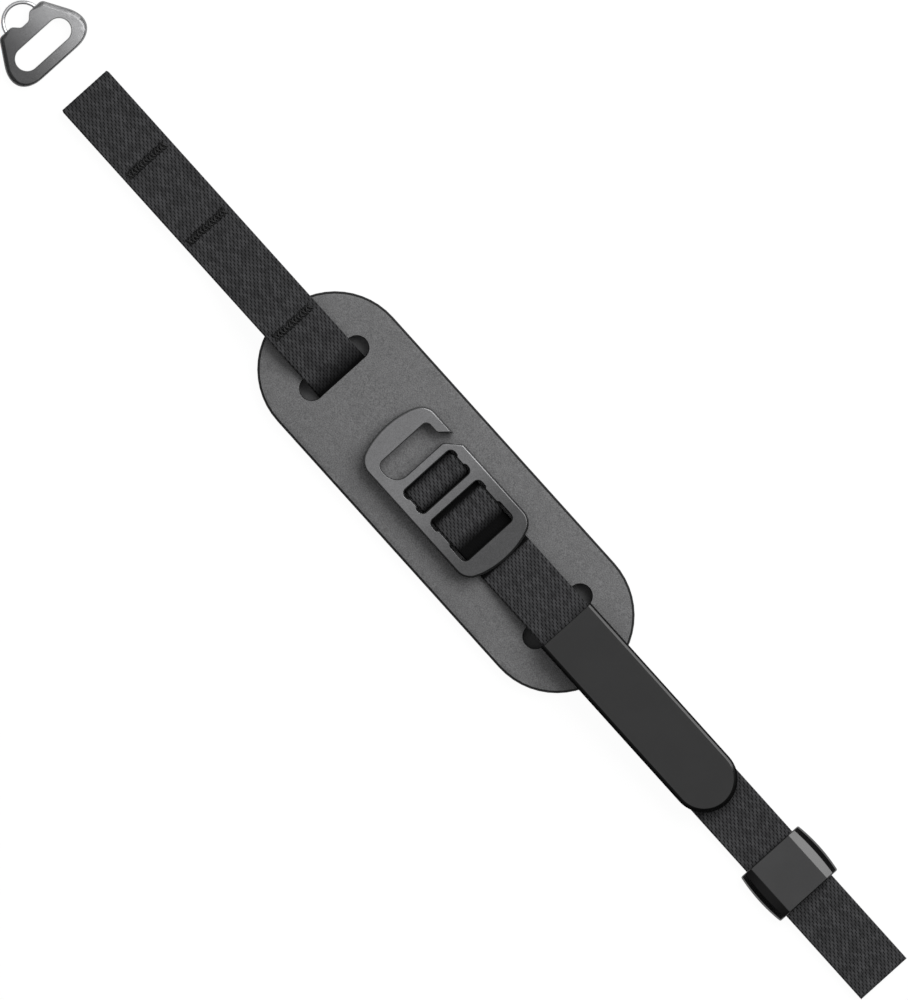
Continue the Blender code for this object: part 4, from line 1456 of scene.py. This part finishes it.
@dataclass
class Connector:
    """The connector plate with its webbing slot and notch, and the wire bail set in its edge."""

    side_angle: float = math.radians(31)
    corner: float = 5.6 * MM
    edge_width: float = 0.9 * MM
    edge_drop: float = 0.42 * MM
    edge_ease: float = 0.15 * MM
    rim_width: float = 0.28 * MM
    rim_drop: float = 0.4 * MM
    inner_share: float = 0.22
    base_share: float = 0.4
    under_edge: float = 0.3 * MM
    ear: float = 1.4 * MM
    slot_width: float = 5.9 * MM
    slot_inset: float = 3.1 * MM
    slot_length: float = 16.4 * MM
    notch_depth: float = 1.7 * MM
    notch_mouth: float = 5.8 * MM
    notch_floor: float = 2.4 * MM
    notch_round: float = 1.1 * MM
    crown: float = 0.75 * MM
    crown_sink: float = 0.6
    rows: int = 22
    wire: float = 1.1 * MM
    span: float = 9.6 * MM
    bail_facets: int = 40

    def __post_init__(self) -> None:
        """Reads the plate's box from the frame, and works out where its slot is."""
        self.low, self.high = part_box("connector_plate")
        self.slot_x = self.high.x - self.slot_inset - self.slot_width / 2

    def outline(self) -> list[Corner]:
        """Plate from above: round shoulders, slanted sides, and ears beside a soft notch.

        Returns:
            The outline's corners.
        """
        low, high = self.low, self.high
        opening = math.pi / 2 - self.side_angle
        shoulder_y = high.y - self.corner + self.corner / math.tan(opening / 2)
        ear_y = shoulder_y - (high.x - low.x) * math.tan(self.side_angle)
        upper = [
            (high.x, shoulder_y, self.corner),
            (low.x, ear_y, self.ear),
            (low.x, self.notch_mouth / 2, self.notch_round),
            (low.x + self.notch_depth, self.notch_floor / 2, self.notch_round),
        ]
        return upper + [(x, -y, r) for x, y, r in reversed(upper)]

    def on_slot_wall(self, x: float, y: float) -> bool:
        """Whether a place is on the slot's wall rather than on the outer one."""
        middle_y = max(0.0, abs(y) - (self.slot_length - self.slot_width) / 2)
        return math.hypot(x - self.slot_x, middle_y) < self.slot_width / 2 + 2 * self.under_edge

    def edge_share(self, x: float, y: float) -> float:
        """Part of the edge's width at a place: less on the far edge, and little in notch and slot.

        Args:
            x: Place along the strap.
            y: Place across it.

        Returns:
            The part, from 0 to 1.
        """
        beside_slot = abs(y) < self.slot_length / 2 + self.under_edge
        in_slot = beside_slot and abs(x - self.slot_x) < self.slot_width and self.on_slot_wall(x, y)
        in_notch = abs(y) < self.notch_mouth / 2 + self.notch_round / 2 and x < self.slot_x
        if in_notch or in_slot:
            return self.inner_share
        way = max(0.0, x - (self.high.x - self.corner)) / self.corner
        return 1.0 - (1.0 - self.base_share) * way**2

    def build_plate(self, face: bpy.types.Material, edge: bpy.types.Material) -> bpy.types.Object:
        """Builds the plate, whose top is slightly crowned across.

        Args:
            face: The blasted flats.
            edge: The smoother walls and chamfers.

        Returns:
            The piece.
        """
        low, high = self.low, self.high
        outlines = [self.outline(), stadium(self.slot_x, 0.0, self.slot_width, self.slot_length)]
        top = [(self.rim_width, self.rim_drop)]
        top += soft_chamfer(self.edge_width, self.edge_drop, self.edge_ease)
        high_z = high.z - self.crown * self.crown_sink
        slab = Slab(outlines, low.z, high_z, top, fillet(self.under_edge, 3), self.edge_share)
        bm = slab.shape()
        slice_rows(bm, Axis.ACROSS, low.y, high.y, self.rows)
        middle = (low.z + high.z) / 2
        for vert in bm.verts:
            if vert.co.z > middle:
                vert.co.z += self.crown * (1.0 - (vert.co.y / high.y) ** 2)
        obj = close_up("connector_plate_body", bm, [face, edge])
        soften_shading(obj)
        return place_piece(obj, Body.STRAP, Slot.PLATE, "connector_plate")

    def build_bail(self, finish: bpy.types.Material) -> bpy.types.Object:
        """Builds the bail: two legs in the plate's edge and a half circle beyond it.

        Args:
            finish: The polished wire.

        Returns:
            The piece.
        """
        low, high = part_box("connector_bail")
        z = (low.z + high.z) / 2
        radius = self.span / 2
        centre_x = low.x + self.wire / 2 + radius
        turns = [math.pi / 2 + math.pi * k / self.bail_facets for k in range(self.bail_facets + 1)]
        path = [Vector((high.x, radius, z)), Vector((centre_x + self.wire, radius, z))]
        path += [Vector((centre_x + radius * math.cos(t), radius * math.sin(t), z)) for t in turns]
        path += [Vector((centre_x + self.wire, -radius, z)), Vector((high.x, -radius, z))]
        obj = tube("bail_wire", path, self.wire / 2, finish)
        return place_piece(obj, Body.STRAP, Slot.WIRE, "connector_bail")


@dataclass
class BarTack:
    """One bar-tack: a dense zigzag of thread on both faces of the doubled strap."""

    node: str
    seed: int
    layers: float = 2.7 * MM
    half_width: float = 0.95 * MM
    half_length: float = 5.95 * MM
    pitch: float = 0.95 * MM
    thread: float = 0.48 * MM
    rise: float = 0.3
    pass_rise: float = 0.45
    sink: float = 0.6
    bend_share: float = 0.85
    jitter: float = 0.16 * MM
    passes: int = 2

    def zigzag(self, x: float, z: float, up: float, turn: int, chance: random.Random) -> list[Vector]:
        """Thread path of one pass over one face.

        Args:
            x: The tack's middle along the strap.
            z: Height of the face.
            up: 1 for the upper face, and -1 for the lower one.
            turn: Which pass this is: every other one starts on the other side.
            chance: Source of the small unevenness.

        Returns:
            The path.
        """
        path = []
        count = round(2 * self.half_length / self.pitch)
        over = z + up * self.thread * (self.rise + self.pass_rise * turn)
        under = z - up * self.thread * self.sink
        stitch = ((-1.0, under), (-self.bend_share, over), (self.bend_share, over), (1.0, under))
        for k in range(count):
            side = 1.0 if (k + turn) % 2 else -1.0
            start_y = -self.half_length + 2 * self.half_length * k / count
            stop_y = start_y + 2 * self.half_length / count
            for share, height in stitch:
                y = start_y + (stop_y - start_y) * (share + 1) / 2
                shift = Vector((chance.uniform(-1, 1), chance.uniform(-1, 1), 0.0)) * self.jitter
                path.append(Vector((x + side * share * self.half_width, y, height)) + shift)
        return path

    def build(self, finish: bpy.types.Material) -> bpy.types.Object:
        """Builds the tack in the place of its node.

        Args:
            finish: The thread's material.

        Returns:
            The piece.
        """
        low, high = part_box(self.node)
        x = (low.x + high.x) / 2
        middle = (low.z + high.z) / 2
        chance = random.Random(self.seed)
        path: list[Vector] = []
        for up in (1.0, -1.0):
            for turn in range(self.passes):
                stretch = self.zigzag(x, middle + up * self.layers / 2, up, turn, chance)
                path += list(reversed(stretch)) if turn % 2 else stretch
        obj = tube(self.node + "_stitches", path, self.thread / 2, finish)
        return place_piece(obj, Body.STRAP, Slot.THREAD, self.node)


@dataclass
class Studio:
    """Pale floor, soft light from the +Y side, a soft sky, and the camera over the strap."""

    picture_height: float = 1000.0
    pixels_per_mm: float = 4.0867
    camera_x: float = 2.74 * MM
    camera_y: float = 0.19 * MM
    camera_turn: float = math.radians(48.01)
    camera_height: float = 0.6
    floor_half: float = 3.0
    floor_drop: float = 0.05 * MM
    floor_colour: Colour = (0.5, 0.5, 0.5)
    floor_paint: Colour = (0.07, 0.07, 0.07)
    floor_roughness: float = 0.9
    floor_glow: float = 0.955
    key_watts: float = 8.0
    key_distance: float = 1.0
    key_elevation: float = math.radians(48)
    key_size: tuple[float, float] = (0.95, 0.66)
    sky_low: float = 0.02
    sky_high: float = 0.72
    sky_rim: float = 0.3
    sky_lean: Place = (-0.2, 0.15, 0.97)

    def camera(self) -> None:
        """Looks straight down, turned as the photograph is."""
        data = bpy.data.cameras.new("camera")
        data.type = "ORTHO"
        data.ortho_scale = self.picture_height / self.pixels_per_mm * MM
        obj = bpy.data.objects.new("camera", data)
        obj.location = (self.camera_x, self.camera_y, self.camera_height)
        obj.rotation_euler = (0.0, 0.0, self.camera_turn)
        bpy.context.scene.collection.objects.link(obj)
        bpy.context.scene.camera = obj

    def key(self) -> None:
        """One broad soft lamp above the +Y side."""
        data = bpy.data.lights.new("key", "AREA")
        data.shape = "RECTANGLE"
        data.size, data.size_y = self.key_size
        data.energy = self.key_watts
        obj = bpy.data.objects.new("key", data)
        away = Vector((0.0, math.cos(self.key_elevation), math.sin(self.key_elevation)))
        obj.location = away * self.key_distance
        obj.rotation_euler = away.to_track_quat("Z", "Y").to_euler()
        bpy.context.scene.collection.objects.link(obj)

    def sky(self) -> None:
        """A soft sky: brightest overhead towards the lamp, dark near the horizon."""
        world = bpy.data.worlds.new("studio")
        world.use_nodes = True
        bpy.context.scene.world = world
        tree = world.node_tree
        place = tree.nodes.new("ShaderNodeTexCoord")
        dot = tree.nodes.new("ShaderNodeVectorMath")
        dot.operation = "DOT_PRODUCT"
        dot.inputs[1].default_value = Vector(self.sky_lean).normalized()
        ramp = tree.nodes.new("ShaderNodeMapRange")
        ramp.interpolation_type = "SMOOTHSTEP"
        values = {"From Min": self.sky_rim, "From Max": 1.0, "To Min": self.sky_low, "To Max": self.sky_high}
        for name, value in values.items():
            ramp.inputs[name].default_value = value
        tree.links.new(place.outputs["Generated"], dot.inputs[0])
        tree.links.new(dot.outputs["Value"], ramp.inputs["Value"])
        tree.links.new(ramp.outputs[0], tree.nodes["Background"].inputs["Strength"])
        tree.nodes["Background"].inputs["Color"].default_value = (1.0, 1.0, 1.0, 1.0)

    def floor(self) -> None:
        """A pale floor that looks white, also in the metal, and keeps the strap's shadow."""
        bm = bmesh.new()
        bmesh.ops.create_grid(bm, x_segments=2, y_segments=2, size=self.floor_half)
        bmesh.ops.translate(bm, vec=(0.0, 0.0, -self.floor_drop), verts=bm.verts)
        s = Shader("pale_floor")
        s.set(Base_Color=self.floor_colour, Roughness=self.floor_roughness)
        s.principled.inputs["Specular IOR Level"].default_value = 0.0
        glow = s.add("ShaderNodeEmission", {"Color": (1.0, 1.0, 1.0), "Strength": self.floor_glow})
        paint = s.add("ShaderNodeBsdfDiffuse", {"Color": self.floor_paint})
        both = s.add("ShaderNodeAddShader", {0: glow.outputs[0], 1: paint.outputs[0]})
        rays = s.add("ShaderNodeLightPath", {})
        seen = s.calc("MAXIMUM", rays.outputs["Is Camera Ray"], rays.outputs["Is Glossy Ray"])
        seen = s.calc("MAXIMUM", seen, rays.outputs["Is Transmission Ray"])
        choice = s.add("ShaderNodeMixShader", {0: seen, 1: s.principled.outputs[0], 2: both.outputs[0]})
        s.tree.links.new(choice.outputs[0], s.tree.nodes["Material Output"].inputs["Surface"])
        mesh = bpy.data.meshes.new("floor")
        bm.to_mesh(mesh)
        bm.free()
        new_object("floor", mesh, [s.material])

    def build(self) -> None:
        """Sets the whole studio."""
        scene = bpy.context.scene
        scene.view_settings.view_transform = "Standard"
        self.camera()
        self.key()
        self.sky()
        self.floor()


def main() -> None:
    """Builds the studio and every piece, in order."""
    logging.basicConfig(level=logging.INFO, format="%(name)s: %(message)s")
    Studio().build()
    layout = Layout()
    buckle = Buckle(layout)
    webbing = WovenYarn().material()
    thread = MouldedFinish(
        "sewing_thread", (0.005, 0.005, 0.0053), 0.6, grain_size=0.1 * MM, grain_depth=0.02 * MM,
    ).material()
    suede = Suede("pad_suede", (0.162, 0.162, 0.164), spread=0.34).material()
    sealed = MouldedFinish("sealed_rim", (0.014, 0.014, 0.0145), 0.75, specular=0.2).material()
    lining = Suede("pad_lining", (0.095, 0.095, 0.097)).material()
    # The buckle's colour darkens towards the strap's lower end, and the plate's towards its -Y side: painted
    # shade.
    buckle_face = BlastedMetal(
        "buckle_anodised", (0.205, 0.205, 0.209), Axis.ALONG,
        shade_from=-8.0 * MM, shade_to=18.0 * MM, shade_level=0.44,
    )
    buckle_edge = replace(buckle_face, name="buckle_edge", roughness=0.24)
    plate_face = BlastedMetal(
        "plate_anodised", (0.31, 0.31, 0.315), Axis.ACROSS,
        shade_from=7.0 * MM, shade_to=-8.0 * MM, shade_level=0.44, roughness=0.42,
    )
    plate_edge = replace(plate_face, name="plate_edge", colour=(0.25, 0.25, 0.254), roughness=0.36)
    satin = MouldedFinish("tab_satin", (0.0115, 0.0115, 0.0118), 0.36).material()
    tab_edge = MouldedFinish("tab_gloss_edge", (0.003, 0.003, 0.0031), 0.2, specular=0.42).material()
    matt_top = MouldedFinish("keeper_top", (0.031, 0.031, 0.032), 0.42).material()
    gloss = MouldedFinish("keeper_gloss", (0.004, 0.004, 0.0042), 0.15, specular=0.66).material()
    wire = PolishedWire().material()
    # Both strips are darkened in colour as painted shade where they run down in the pad's slots or the
    # buckle's slots.
    WovenStrip(
        "strap_webbing", ("main_webbing", "webbing_in_pad", "lower_webbing"), layout.main_route(),
        slot_shade_low=layout.in_pad, slot_shade_high=layout.on_pad, slot_shade_reach=layout.slot_outer,
    ).build(webbing)
    WovenStrip(
        "adjuster_strip", ("adjuster_webbing",), buckle.adjuster_route(),
        slot_shade_low=layout.on_pad, slot_shade_high=buckle.over_bar, slot_shade_reach=buckle.high.x,
    ).build(webbing)
    for seed, node in enumerate(("bar_tack_end", "bar_tack_middle", "bar_tack_pad")):
        BarTack(node, seed).build(thread)
    pad = HandPad(layout)
    pad.build(suede, sealed)
    pad.build_lining(lining, sealed)
    buckle.build(buckle_face.material(), buckle_edge.material())
    PullTab(layout).build(satin, tab_edge)
    Keeper(layout).build(matt_top, gloss)
    connector = Connector()
    connector.build_plate(plate_face.material(), plate_edge.material())
    connector.build_bail(wire)


if __name__ == "__main__":
    main()
